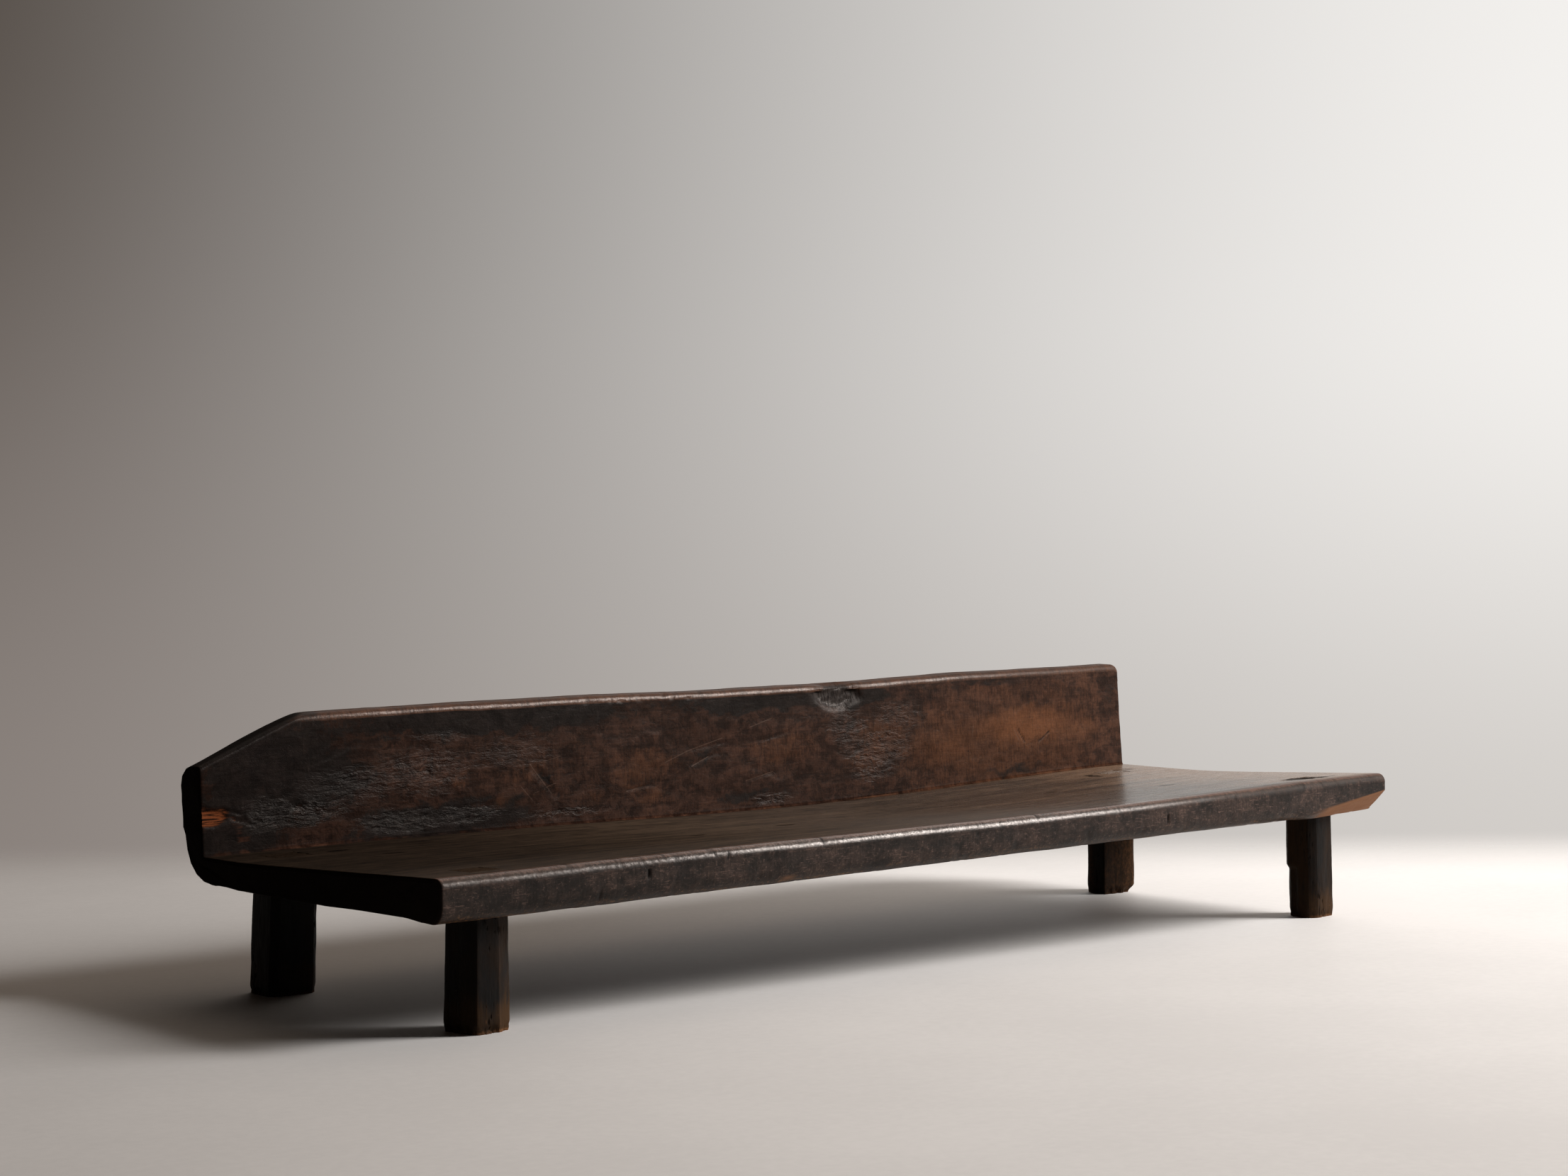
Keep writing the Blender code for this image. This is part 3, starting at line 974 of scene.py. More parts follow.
@dataclass
class HewnLog:
    """The log: an L-shaped outline carried along X, worn and torn, with four mortises and two hewn ends."""

    left: float
    right: float
    front: float
    rear: float
    top: float
    underside_left: float
    mortises: tuple[Mortise, ...]
    underside_right: float = 0.182
    front_thickness: float = 0.066
    rear_thickness: float = 0.044
    front_hollow: float = 0.004
    rear_hollow: float = 0.015
    hollow_skew: float = 1.35
    slope_run_left: float = 0.520
    slope_run_right: float = 0.410
    dish_ease: float = 0.10
    back_foot: float = 0.064
    back_lean: float = 0.050
    top_dip: float = 0.004
    front_bottom_radius: float = 0.026
    nose_radius: float = 0.0150
    cove_radius: float = 0.0035
    top_front_radius: float = 0.0125
    slope_edge_radius: float = 0.006
    top_rear_radius: float = 0.018
    left_rear_radius: float = 0.030
    draw_in_height: float = 0.300
    heel_lean: float = 0.012
    heel_radius: float = 0.080
    slope_length: float = 0.188
    slope_drop: float = 0.074
    slope_ease: float = 0.006
    cut_length: float = 0.245
    cut_rise: float = 0.036
    cut_depth: float = 0.037
    end_arris: float = 0.0035
    right_lean: float = 0.004
    top_corner: float = 0.012
    stations: int = 560
    arris_steps: int = 4
    fine_spans: tuple[tuple[float, float], ...] = ((-1.05, -0.40), (0.22, 0.46), (0.70, 0.83))
    fine_gain: float = 0.6
    fine_ease: float = 0.04
    seat_step: float = 0.042
    seat_fine_step: float = 0.006
    under_step: float = 0.085
    under_fine_step: float = 0.012
    end_lines: int = 16
    end_columns: int = 130
    knee_share: float = 0.72
    sharp_angle: float = 50.0
    ledge_height: float = 0.0105
    tear_depth: float = 0.0012
    flake_depth: float = 0.0013
    top_chip_depth: float = 0.0040
    ragged_depth: float = 0.0035
    fresh_end: float = -0.94
    large_nicks: Pairs = ((-0.488, 1.5), (-0.309, 1.5), (-0.519, 1.0), (-0.610, 0.8), (0.143, 1.5),
                          (-0.775, 0.6), (-0.915, 0.4), (-0.780, 0.6))
    loose_nicks: int = 60
    crowded_nicks: int = 26
    nick_half_width: float = 0.0030
    nick_reach: float = 0.012
    nick_depth: float = 0.0008
    hem_chip: Patch = Patch(-0.375, 0.1775, 0.022, 0.006)
    hem_chip_depth: float = 0.0012

    tears: tuple[Patch, ...] = (
        Patch(-0.800, 0.262, 0.110, 0.034, 0.95), Patch(-0.640, 0.235, 0.150, 0.034, 1.0),
        Patch(-0.520, 0.238, 0.130, 0.024, 0.9), Patch(-0.720, 0.300, 0.200, 0.060, 0.62),
        Patch(-0.600, 0.310, 0.170, 0.070, 0.72), Patch(-0.420, 0.330, 0.200, 0.060, 0.45),
        Patch(-0.880, 0.265, 0.085, 0.050, 0.8), Patch(-0.560, 0.365, 0.160, 0.022, 0.45),
        Patch(0.305, 0.335, 0.070, 0.060, 0.90), Patch(0.375, 0.292, 0.135, 0.058, 0.90),
        Patch(0.430, 0.345, 0.130, 0.060, 0.45), Patch(0.360, 0.250, 0.100, 0.030, 0.60),
        Patch(0.125, 0.219, 0.080, 0.015, 0.85), Patch(-0.330, 0.226, 0.200, 0.012, 0.6))
    knot: Patch = Patch(0.286, 0.396, 0.072, 0.041)
    knot_depth: float = 0.0090
    chips: tuple[Patch, ...] = (
        Patch(-1.002, 0.267, 0.068, 0.0230), Patch(-0.930, 0.258, 0.040, 0.006, 0.30, -0.35))
    chip_depth: float = 0.0045
    torn_marks: tuple[Groove, ...] = (
        Groove((-0.946, 0.259), (-0.936, 0.238), 0.0095, 0.0),
        Groove((-0.936, 0.238), (-0.920, 0.228), 0.0080, 0.0))
    scars: tuple[Groove, ...] = (
        Groove((-0.378, 0.302), (-0.336, 0.256), 0.0078, 0.0008, 0.8),
        Groove((-0.329, 0.262), (-0.329, 0.232), 0.004, 0.0006),
        Groove((0.726, 0.306), (0.741, 0.284), 0.0030, 0.0013),
        Groove((0.779, 0.282), (0.806, 0.299), 0.0032, 0.0013),
        Groove((0.806, 0.299), (0.801, 0.285), 0.0030, 0.0010),
        Groove((-0.962, 0.277), (-0.935, 0.268), 0.0030, 0.0010),
        Groove((-0.935, 0.268), (-0.893, 0.252), 0.0028, 0.0008),
        Groove((-0.049, 0.289), (0.010, 0.306), 0.0035, 0.0008),
        Groove((-0.049, 0.314), (0.030, 0.323), 0.0035, 0.0007),
        Groove((0.100, 0.320), (0.170, 0.333), 0.0035, 0.0007),
        Groove((-0.190, 0.254), (-0.140, 0.260), 0.0040, 0.0010),
        Groove((0.070, 0.254), (0.131, 0.265), 0.0035, 0.0007))
    checks: tuple[Groove, ...] = (
        Groove((-0.640, 0.219), (-0.641, 0.202), 0.0045, 0.0030),
        Groove((-0.727, 0.190), (-0.727, 0.179), 0.0034, 0.0022),
        Groove((0.442, 0.213), (0.443, 0.202), 0.0040, 0.0025),
        Groove((0.100, 0.222), (0.101, 0.212), 0.0040, 0.0020),
        Groove((0.012, 0.224), (0.010, 0.214), 0.0040, 0.0020))
    warm_patches: tuple[Patch, ...] = (
        Patch(0.745, 0.312, 0.300, 0.085, 0.95), Patch(0.880, 0.300, 0.150, 0.070, 0.65),
        Patch(0.560, 0.290, 0.260, 0.110, 0.62), Patch(0.700, 0.290, 0.600, 0.260, 0.50),
        Patch(0.385, 0.310, 0.130, 0.080, 0.55), Patch(0.350, 0.270, 0.100, 0.045, 0.55),
        Patch(-0.150, 0.290, 0.130, 0.065, 0.52), Patch(-0.145, 0.240, 0.080, 0.030, 0.50),
        Patch(0.150, 0.300, 0.130, 0.060, 0.42), Patch(-0.260, 0.250, 0.060, 0.040, 0.40),
        Patch(-0.447, 0.250, 0.025, 0.030, 0.62), Patch(-0.526, 0.293, 0.035, 0.016, 0.55),
        Patch(-0.822, 0.351, 0.022, 0.018, 0.50), Patch(-0.769, 0.278, 0.020, 0.012, 0.60),
        Patch(-0.890, 0.300, 0.014, 0.022, 0.55), Patch(-0.370, 0.300, 0.120, 0.050, 0.35))
    soot_patches: tuple[Patch, ...] = (
        Patch(-0.930, 0.232, 0.160, 0.055, 0.90), Patch(-0.860, 0.320, 0.300, 0.150, 0.95),
        Patch(-0.560, 0.230, 0.330, 0.070, 0.80),
        Patch(-0.450, 0.390, 0.600, 0.050, 0.90), Patch(0.060, 0.390, 0.420, 0.040, 0.85),
        Patch(0.350, 0.382, 0.130, 0.040, 0.75), Patch(0.640, 0.402, 0.450, 0.020, 0.50),
        Patch(-0.357, 0.279, 0.040, 0.013, 0.90, -0.83), Patch(-0.020, 0.300, 0.070, 0.050, 0.55),
        Patch(0.110, 0.228, 0.160, 0.030, 0.60),
        Patch(0.720, 0.232, 0.260, 0.022, 0.45), Patch(0.975, 0.360, 0.050, 0.090, 0.45))

    def share(self, x: Any) -> Any:
        """How far along the log a place is, from 0 at the left end to 1 at the right."""
        return (x - self.left) / (self.right - self.left)

    def underside(self, x: Any) -> Any:
        """Height of the underside, rising evenly from left to right."""
        return lerp(self.underside_left, self.underside_right, self.share(x))

    def hollow(self, x: Any) -> Any:
        """How much of the seat's hollow a place has: a squared sine, drawn towards the right."""
        return np.sin(math.pi * np.clip(self.share(x), 0.0, 1.0) ** self.hollow_skew) ** 2

    def seat_ends(self, x: Any) -> tuple[Any, Any]:
        """Heights of the seat at its front edge and along its level rear part."""
        base, hollow = self.underside(x), self.hollow(x)
        return (base + self.front_thickness - self.front_hollow * hollow,
                base + self.rear_thickness - self.rear_hollow * hollow)

    def slope_run(self, x: Any) -> Any:
        """How far back the seat's slope reaches: longest at the left end."""
        return lerp(self.slope_run_left, self.slope_run_right, smooth_step(0.0, 0.5, self.share(x)))

    def seat_height(self, x: Any, y: Any) -> Any:
        """Height of the seat: straight down from the front edge, eased into the level rear part.

        Args:
            x: places along the log.
            y: places from front to back.

        Returns:
            The heights.
        """
        high, low = self.seat_ends(x)
        left = 1.0 - (y - self.front) / self.slope_run(x)
        return low + (high - low) * (left + np.sqrt(left ** 2 + self.dish_ease ** 2)) / 2.0

    def top_height(self, x: Any) -> Any:
        """Height of the back: level with a slight dip, cut down in a straight slope at the left end.

        Args:
            x: places along the log.

        Returns:
            The heights.
        """
        dip = self.top_dip * smooth_step(-0.30, 0.0, x) * smooth_step(0.60, 0.30, x)
        past = np.clip((x - self.right + self.top_corner) / self.top_corner, 0.0, 1.0)
        dip = dip + self.top_corner * 0.7 * (1.0 - np.sqrt(1.0 - past ** 2))
        level = self.top - dip + 0.0003 * fractal(x * 9.0, x * 0.0, 5, 3)
        slope = self.top - self.slope_drop * (1.0 - (x - self.left) / self.slope_length)
        return (level + slope - np.sqrt((level - slope) ** 2 + self.slope_ease ** 2)) / 2.0

    def mortise_lines(self) -> Array:
        """Places from front to back of all mortise edges, sorted."""
        lines = [m.y + side * m.half_depth for m in self.mortises for side in (-1.0, 1.0)]
        return np.array(sorted(lines))

    def cross_lines(self, low: float, high: float, spacing: float, fine: float) -> Array:
        """Lines from front to back over a face: evenly spaced, closer near its front, on every mortise edge.

        Args:
            low: first place.
            high: last place.
            spacing: step over most of the face.
            fine: step over the first stretch and the last.

        Returns:
            The places, rising.
        """
        edges = self.mortise_lines()
        near = np.arange(low, low + 8 * fine, fine)
        far = np.arange(high, high - 3 * fine, -fine)[::-1]
        count = int((far[0] - near[-1]) / spacing)
        body = np.linspace(near[-1], far[0], count + 1)[1:-1]
        free = np.concatenate([near, body, far])
        half = len(edges) // 2
        clear = np.ones(len(free), bool)
        for band in (edges[:half], edges[half:]):
            clear &= (free < band[0] - fine / 2) | (free > band[-1] + fine / 2)
        return np.sort(np.concatenate([free[clear], edges]))

    def outline(self, x: Array, seat_lines: Array, under_lines: Array) -> Outline:
        """Rounded L-shaped outline at each station: arcs at the corners, straight or eased runs between.

        Args:
            x: stations along the log.
            seat_lines: places from front to back of the seat's columns.
            under_lines: places from front to back of the underside's columns.

        Returns:
            The rings, one row for each station.
        """
        x = x[:, None]
        pieces: list[tuple[Run, Array, Array]] = []

        def arc(run: Run, middle_y: Any, middle_z: Any, radius: Any, start: Any, end: Any,
                count: int) -> None:
            """Add an arc about a middle, from one angle to another, in degrees from +Y towards +Z."""
            angle = np.radians(lerp(start, end, np.linspace(0.0, 1.0, count)[None, :]))
            pieces.append((run, middle_y + radius * np.cos(angle), middle_z + radius * np.sin(angle)))

        def straight(run: Run, start: tuple, end: tuple, count: int) -> None:
            """Add points between two ends, without the ends themselves."""
            share = (np.arange(1, count + 1) / (count + 1.0))[None, :]
            pieces.append((run, lerp(start[0], end[0], share), lerp(start[1], end[1], share)))

        base, top = self.underside(x), self.top_height(x)
        high, low = self.seat_ends(x)
        flat = np.zeros_like(x)
        front = self.front + 0.0010 * fractal(x * 5.0, flat, 21, 3)
        lift = 0.0012 * fractal(x * 4.0, flat, 33, 3)

        rough_cut = (x - (self.right - self.cut_length)) / self.cut_length
        cut = smooth_step(0.0, 0.25, rough_cut)
        rise, depth = self.cut_rise * np.clip(rough_cut, 0, 1), self.cut_depth * np.clip(rough_cut, 0, 1)
        radius = self.front_bottom_radius
        turn = np.linspace(0.0, 1.0, 8)[None, :]
        angle = np.radians(lerp(270.0, 180.0, turn))
        corner_y = lerp(front + radius + radius * np.cos(angle), front + lerp(depth, 0.0, turn), cut)
        corner_z = lerp(base + radius + radius * np.sin(angle), base + lerp(0.0, rise, turn), cut)
        pieces.append((Run.FRONT_BOTTOM, corner_y, corner_z))

        slope = np.degrees(np.arctan2(high - low, self.slope_run(x)))
        nose_radius = self.nose_radius + 0.002 * fractal(x * 3.0, flat, 8, 2)
        sine, cosine = np.sin(np.radians(slope)), np.cos(np.radians(slope))
        nose_z = high - nose_radius * (1.0 + sine) / cosine + lift * 0.5
        straight(Run.FRONT, (front, corner_z[:, -1:]), (front, nose_z), 6)
        arc(Run.NOSE, front + nose_radius, nose_z, nose_radius, 180.0, 90.0 - slope, 10)
        seat_y = seat_lines[None, :] + flat
        seat_z = self.seat_height(x, seat_y) + lift * 0.5 * smooth_step(self.front + 0.09, self.front, seat_y)
        pieces.append((Run.SEAT, seat_y, seat_z))

        lean = math.degrees(math.atan(self.back_lean))
        foot = self.rear - self.back_foot
        cove_radius = self.cove_radius + flat
        cove_y = foot + cove_radius * (self.back_lean - math.hypot(1.0, self.back_lean))
        arc(Run.COVE, cove_y, low + cove_radius, cove_radius, -90.0, -lean, 4)
        on_slope = smooth_step(self.slope_length + 0.01, self.slope_length - 0.02, x - self.left)
        top_radius = self.top_front_radius * (1.0 + 0.12 * fractal(x * 6.0, flat, 12, 3))
        top_radius = lerp(top_radius, self.slope_edge_radius, on_slope)
        top_y = foot + (top - top_radius - low) * self.back_lean
        top_y = top_y + top_radius * math.hypot(1.0, self.back_lean)
        top_z = top - top_radius
        reach_y, reach_z = math.cos(math.radians(lean)), math.sin(math.radians(lean))
        back_start = (cove_y + cove_radius * reach_y, low + cove_radius - cove_radius * reach_z)
        straight(Run.BACK, back_start, (top_y - top_radius * reach_y, top_z + top_radius * reach_z), 70)
        arc(Run.TOP_FRONT, top_y, top_z, top_radius, 180.0 - lean, 90.0, 7)
        rear_radius = lerp(self.top_rear_radius, self.left_rear_radius, smooth_step(0.12, 0.0, x - self.left))
        straight(Run.TOP, (top_y, top), (self.rear - rear_radius, top), 2)
        arc(Run.TOP_REAR, self.rear - rear_radius, top - rear_radius, rear_radius, 90.0, 0.0, 4)

        draw = self.heel_lean / (self.draw_in_height - base)
        heel_angle = np.degrees(np.arctan(draw))
        heel_z = base + self.heel_radius
        heel_y = self.rear - self.heel_lean + (heel_z - base) * draw - self.heel_radius * np.hypot(1.0, draw)
        outer_end_y = heel_y + self.heel_radius * np.cos(np.radians(heel_angle))
        outer_end_z = heel_z - self.heel_radius * np.sin(np.radians(heel_angle))
        share = (np.arange(1, 6) / 6.0)[None, :]
        outer_z = lerp(top - rear_radius, outer_end_z, share)
        pieces.append((Run.OUTER, lerp(self.rear, outer_end_y, share ** 2.2), outer_z))
        arc(Run.HEEL, heel_y, heel_z, self.heel_radius, -heel_angle, -90.0, 6)
        under_y = under_lines[::-1][None, :] + flat
        pieces.append((Run.UNDERSIDE, under_y, base + np.zeros_like(under_y)))

        y = np.concatenate([np.broadcast_to(p[1], (len(x), p[1].shape[1])) for p in pieces], axis=1)
        z = np.concatenate([np.broadcast_to(p[2], (len(x), p[2].shape[1])) for p in pieces], axis=1)
        run = [p[0] for p in pieces for _ in range(p[1].shape[1])]
        middle = len(x) // 2
        steps = np.hypot(np.diff(y[middle], prepend=y[middle, -1]), np.diff(z[middle], prepend=z[middle, -1]))
        steps[0] = 0.0
        return Outline(np.broadcast_to(x, y.shape), y, z, run, np.cumsum(steps)[None, :])

    def rings(self) -> tuple[Array, Array]:
        """Stations along the log, each mortise edge on one, and how far each ring is drawn in at the ends.

        Returns:
            Places along X and draw-in distances: a quarter circle rounds the ends' arrises.
        """
        even = np.linspace(self.left + self.end_arris, self.right - self.end_arris, 4001)
        spans = [smooth_step(low - self.fine_ease, low, even) * smooth_step(high + self.fine_ease, high, even)
                 for low, high in self.fine_spans]
        walked = np.cumsum(1.0 + self.fine_gain * np.max(np.stack(spans), axis=0))
        body = np.interp(np.linspace(walked[0], walked[-1], self.stations), walked, even)
        for mortise in self.mortises:
            for side in (-1.0, 1.0):
                edge = mortise.x + side * mortise.half_width
                body[np.argmin(np.abs(body - edge))] = edge
        turn = np.linspace(0.0, math.pi / 2.0, self.arris_steps + 1)[1:]
        out = self.end_arris * np.sin(turn)
        drawn = self.end_arris * (1.0 - np.cos(turn))
        left_end, right_end = self.left + self.end_arris - out, self.right - self.end_arris + out
        x = np.concatenate([left_end[::-1], body, right_end])
        return x, np.concatenate([drawn[::-1], np.zeros(self.stations), drawn])

    def back_relief(self, rings: Outline) -> tuple[Array, dict[str, Array]]:
        """Torn grain, the knot's scoop, end chips and cut marks on the front of the back.

        Args:
            rings: the log's rings.

        Returns:
            Depth cut away at each vertex, and vertex values.
        """
        x, z = rings.x, rings.z
        face = rings.on(Run.BACK, Run.TOP_FRONT, Run.COVE)
        above = smooth_step(0.0, 0.012, z - self.seat_ends(x)[1])
        stray = 0.012 * fractal(x * 30.0, z * 55.0, 41, 3)
        torn = total_weight(self.tears, x + stray, z + stray * 0.5) * above
        phase = (z + 0.004 * fractal(x * 12.0, z * 22.0, 43, 3)) / self.ledge_height
        ledge = np.floor(phase)
        lifted = smooth_step(-0.15, 0.45, waves(x * 26.0 + ledge * 7.3, ledge * 1.7, 47))
        ripple = smooth_step(0.08, 0.80, torn)
        flakes = lifted * (phase - ledge)
        depth = face * ripple * (self.tear_depth * torn + self.flake_depth * flakes)

        scoop_x = x + 0.007 * fractal(x * 40.0, z * 50.0, 61, 3)
        bowl = self.knot.weight(scoop_x, z) * (rings.on(Run.BACK) + 0.5 * rings.on(Run.TOP_FRONT))
        dish = smooth_step(0.0, 0.50, bowl)
        depth = depth + dish * (self.knot_depth + 0.0011 * waves(x * 60.0 - z * 30.0, z * 110.0, 67))

        side = rings.on(Run.BACK)
        chip = total_weight(self.chips, x + stray * 0.3, z + stray * 0.35) * side
        strand = np.clip(0.5 + 0.6 * fractal(x * 20.0, z * 150.0, 71, 3), 0.0, 1.0)
        depth = depth + smooth_step(0.0, 0.45, chip) * self.chip_depth * (0.35 + 0.65 * strand)
        fresh = smooth_step(0.10, 0.35, chip)
        frayed = 0.26 * strand * total_weight(self.torn_marks, x + stray * 0.7, z + stray * 0.7)
        marks = sum(mark.depth * mark.weight(x, z) for mark in self.scars) * side
        depth = depth + marks
        top_edge = rings.on(Run.TOP_FRONT) * smooth_step(-0.30, -0.20, x) * smooth_step(0.02, -0.06, x)
        top_chips = np.clip(fractal(x * 50.0, z * 60.0, 73, 4) - 0.1, 0.0, 1.0)
        depth = depth + top_edge * self.top_chip_depth * top_chips

        warm = total_weight(self.warm_patches, x + stray, z + stray) * face
        rubbed = 0.8 * rings.on(Run.TOP_FRONT) * smooth_step(self.left + 0.17, self.left + 0.25, x)
        soot_and_shade = total_weight(self.soot_patches, x + stray * 1.6, z + stray) * (face - rubbed)
        matt_top = 0.35 * rings.on(Run.TOP_FRONT) * smooth_step(0.15, 0.55, x)
        values = {
            "warm": warm * (1.0 - 0.15 * ripple),
            "cove": np.isin(np.arange(x.shape[1]), rings.columns(Run.COVE)[1:3])
            * (0.6 + 0.5 * waves(x * 7.0, z * 0.0, 79)) * lerp(0.6, 1.0, smooth_step(-0.5, 0.0, x)),
            "dry": np.maximum(rings.on(Run.COVE), fresh * side)
            + 0.10 * dish + side * (1.0 - ripple) * lerp(0.55, 0.25, smooth_step(-0.75, -0.20, x)),
            "knot": dish,
            "glint": 0.45 * dish * smooth_step(0.398, 0.376, z) * smooth_step(0.34, 0.29, x),
            "dull": np.maximum(rings.on(Run.COVE) + matt_top, 0.3 * dish),
            "ripple": ripple * face,
            # the knot's hollow is darkened as well
            "soot_and_shade": np.clip(np.maximum(soot_and_shade, 0.75 * dish), 0.0, 1.0),
            "torn": np.maximum(fresh * (x < self.fresh_end), frayed) * side,
            "crack": np.clip(marks / 0.0016, 0.0, 0.9) * (marks > 0.0009),
            "polish": 0.15 * ripple * flakes * face}
        return depth, values

    def edge_relief(self, rings: Outline) -> tuple[Array, dict[str, Array]]:
        """Nicks along the seat's front edge, upright checks in the front face, the raw cut at the right.

        Args:
            rings: the log's rings.

        Returns:
            Depth cut away at each vertex, and vertex values.
        """
        x, y, z = rings.x, rings.y, rings.z
        nose, front = rings.on(Run.NOSE), rings.on(Run.FRONT, Run.FRONT_BOTTOM)
        seat = rings.on(Run.SEAT)
        high = self.seat_ends(x)[0]
        near_edge = nose + seat * smooth_step(self.front + 0.050, self.front + 0.018, y)
        generator = np.random.default_rng(11)
        few, many = self.crowded_nicks, self.loose_nicks
        places = np.concatenate([[place for place, _ in self.large_nicks],
                                 generator.uniform(-0.97, 0.97, many), generator.uniform(-0.70, -0.46, few)])
        sizes = np.concatenate([[size for _, size in self.large_nicks],
                                generator.uniform(0.10, 0.45, many), generator.uniform(0.35, 0.75, few)])
        slants = generator.uniform(-0.6, 0.6, len(places))
        drop = generator.uniform(-0.004, 0.012, len(places))
        depth = np.zeros_like(x)
        rows = np.abs(x[:, :1] - places[None, :]) < 0.03
        for k, place in enumerate(places):
            near = rows[:, k]
            off = (x[near] - place - slants[k] * (high[near] - z[near])) / self.nick_half_width
            reach = smooth_step(self.nick_reach, 0.0, np.abs(high[near] - z[near] - drop[k]))
            cut = np.clip(1.0 - off ** 2, 0.0, 1.0) * reach * self.nick_depth * sizes[k]
            depth[near] = np.maximum(depth[near], cut)
        nicks = depth * near_edge
        checks = sum(mark.depth * mark.weight(x, z) for mark in self.checks) * front
        chipped = np.clip(fractal(x * 45.0, z * 30.0, 83, 4) - 0.35, 0.0, 1.0)
        depth = nicks + checks + self.hem_chip_depth * chipped * rings.on(Run.FRONT_BOTTOM)

        cut_share = (x - (self.right - self.cut_length)) / self.cut_length
        cut_share = cut_share + 0.05 * waves(x * 70.0, z * 90.0, 89)
        raw = rings.on(Run.FRONT_BOTTOM) * smooth_step(0.18, 0.40, cut_share)
        turn = rings.ramp(Run.NOSE, 0.0, 1.0)
        crest = nose * smooth_step(0.10, 0.35, turn) * smooth_step(1.0, 0.75, turn)
        edge_gloss = lerp(0.40, 0.95, smooth_step(-0.65, -0.30, x)) * smooth_step(0.60, 0.10, x)
        used = lerp(0.55, 1.0, smooth_step(self.front + 0.03, self.front + 0.25, y))
        values = {
            "front": front * (1.0 - raw) + 0.85 * nose * (1.0 - turn),
            "seat": seat + nose * turn,
            # the seat darker towards the left end, more so towards the back
            "soot_and_shade": seat * smooth_step(-0.05, -0.80, x) * used,
            "dry": 0.8 * seat * smooth_step(0.25, -0.50, x) * used + 0.5 * raw,
            "glint": np.maximum(crest * edge_gloss, 0.16 * seat * smooth_step(0.25, 0.70, x)),
            "warm": seat * (0.75 * smooth_step(0.55, 1.0, x) + 0.25 * smooth_step(-0.3, 0.5, x)),
            "dull": np.maximum((nose + seat * near_edge) * 0.7 * smooth_step(0.30, 0.75, x),
                               1.3 * seat * smooth_step(0.45, -0.45, x)),
            "hem": rings.ramp(Run.FRONT_BOTTOM, 1.0, 0.0) * (1.0 - raw),
            "raw": np.maximum(raw, 0.8 * self.hem_chip.weight(x, z) * front),
            "crack": (np.clip(nicks / self.nick_depth, 0.0, 0.95) * near_edge
                      + np.clip(checks / 0.0022, 0.0, 1.0)),
            "polish": nose * smooth_step(0.30, 0.75, turn) * (0.8 + 0.3 * waves(x * 7.0, z * 40.0, 87))
            + 0.75 * seat * smooth_step(self.front + 0.034, self.front + 0.018, y)}
        return depth, values

    def hewn_relief(self, rings: Outline) -> tuple[Array, dict[str, Array]]:
        """Broad unevenness and adze scallops all round, ragged lower edges at the ends.

        Args:
            rings: the log's rings.

        Returns:
            Depth cut away at each vertex, and vertex values.
        """
        x, around = rings.x, rings.around

        def past(start: float, end: float) -> Array:
            """Rise from 0 to 1 between two distances from the left end."""
            return smooth_step(self.left + start, self.left + end, x)

        adze = np.array([ADZE_DEPTH[run] for run in rings.run])[None, :]
        gap, own = scallops(x / 0.085, around / 0.050, 91)
        depth = adze * (1.0 - np.minimum(gap, 1.0)) * (0.4 + own)
        depth = depth + adze * 0.9 * fractal(x * 6.0, around * 12.0, 95, 4)
        under = rings.on(Run.UNDERSIDE, Run.HEEL)
        ragged = under * past(0.05, 0.0)
        torn_off = np.clip(0.4 + fractal(x * 40.0, around * 55.0, 97, 4), 0.0, 1.5)
        depth = depth + ragged * self.ragged_depth * torn_off
        edge = np.isin(np.arange(x.shape[1]), rings.columns(Run.TOP_FRONT)[1:3])
        # painted shade: the top of the slope at the left end faces away from the key lamp and is painted
        # black, as soot and as end grain
        on_slope = rings.on(Run.TOP, Run.TOP_REAR) * past(0.22, 0.17)
        bevel = edge * (0.7 + 0.35 * waves(x * 14.0, around * 10.0, 99))
        # darker on the rear face, heel and underside
        dark = rings.on(Run.OUTER, Run.HEEL, Run.UNDERSIDE)
        values = {
            "glint": 0.45 * bevel * past(0.20, 0.32) * smooth_step(0.95, 0.40, x),
            # partly painted shade: the left end's arris rings and the slope's top take the near-black
            # end-grain colour
            "end": np.maximum(past(0.005, 0.001), 0.6 * on_slope),
            "polish": 0.8 * bevel * past(0.16, 0.22) * smooth_step(0.40, 0.15, x),
            "dull": 0.6 * rings.on(Run.TOP, Run.TOP_REAR),
            "warm": 0.5 * rings.on(Run.TOP_FRONT, Run.TOP, Run.TOP_REAR) * past(0.17, 0.25),
            "soot_and_shade": 0.45 * dark + 0.8 * on_slope}
        return depth, values

    def build(self) -> bpy.types.Object:
        """Build the log's closed shell: rings, mortise walls and the two ends.

        Returns:
            The piece.
        """
        seat_lines = self.cross_lines(self.front + 0.019, self.rear - self.back_foot - 0.006,
                                      self.seat_step, self.seat_fine_step)
        under_lines = self.cross_lines(self.front + 0.036, self.rear - self.heel_lean - 0.090,
                                       self.under_step, self.under_fine_step)
        x, drawn = self.rings()
        rings = self.outline(x, seat_lines, under_lines)
        points = np.stack([rings.x, rings.y, rings.z], axis=-1)
        flat_normal = self.normals(points, flat=True)
        points = points - drawn[:, None, None] * flat_normal
        normal = self.normals(points, flat=False)
        depth = np.zeros(points.shape[:2])
        values = {name: np.zeros(points.shape[:2]) for name in LOG_VALUES}
        for relief in (self.hewn_relief, self.back_relief, self.edge_relief):
            cut, marks = relief(rings)
            depth = depth + cut
            for name, value in marks.items():
                values[name] = np.maximum(values[name], value)
        points = points - depth[..., None] * normal
        upper = smooth_step(0.22, 0.404, points[..., 2])
        points[..., 0] -= self.right_lean * upper * smooth_step(self.right - 0.15, self.right, points[..., 0])

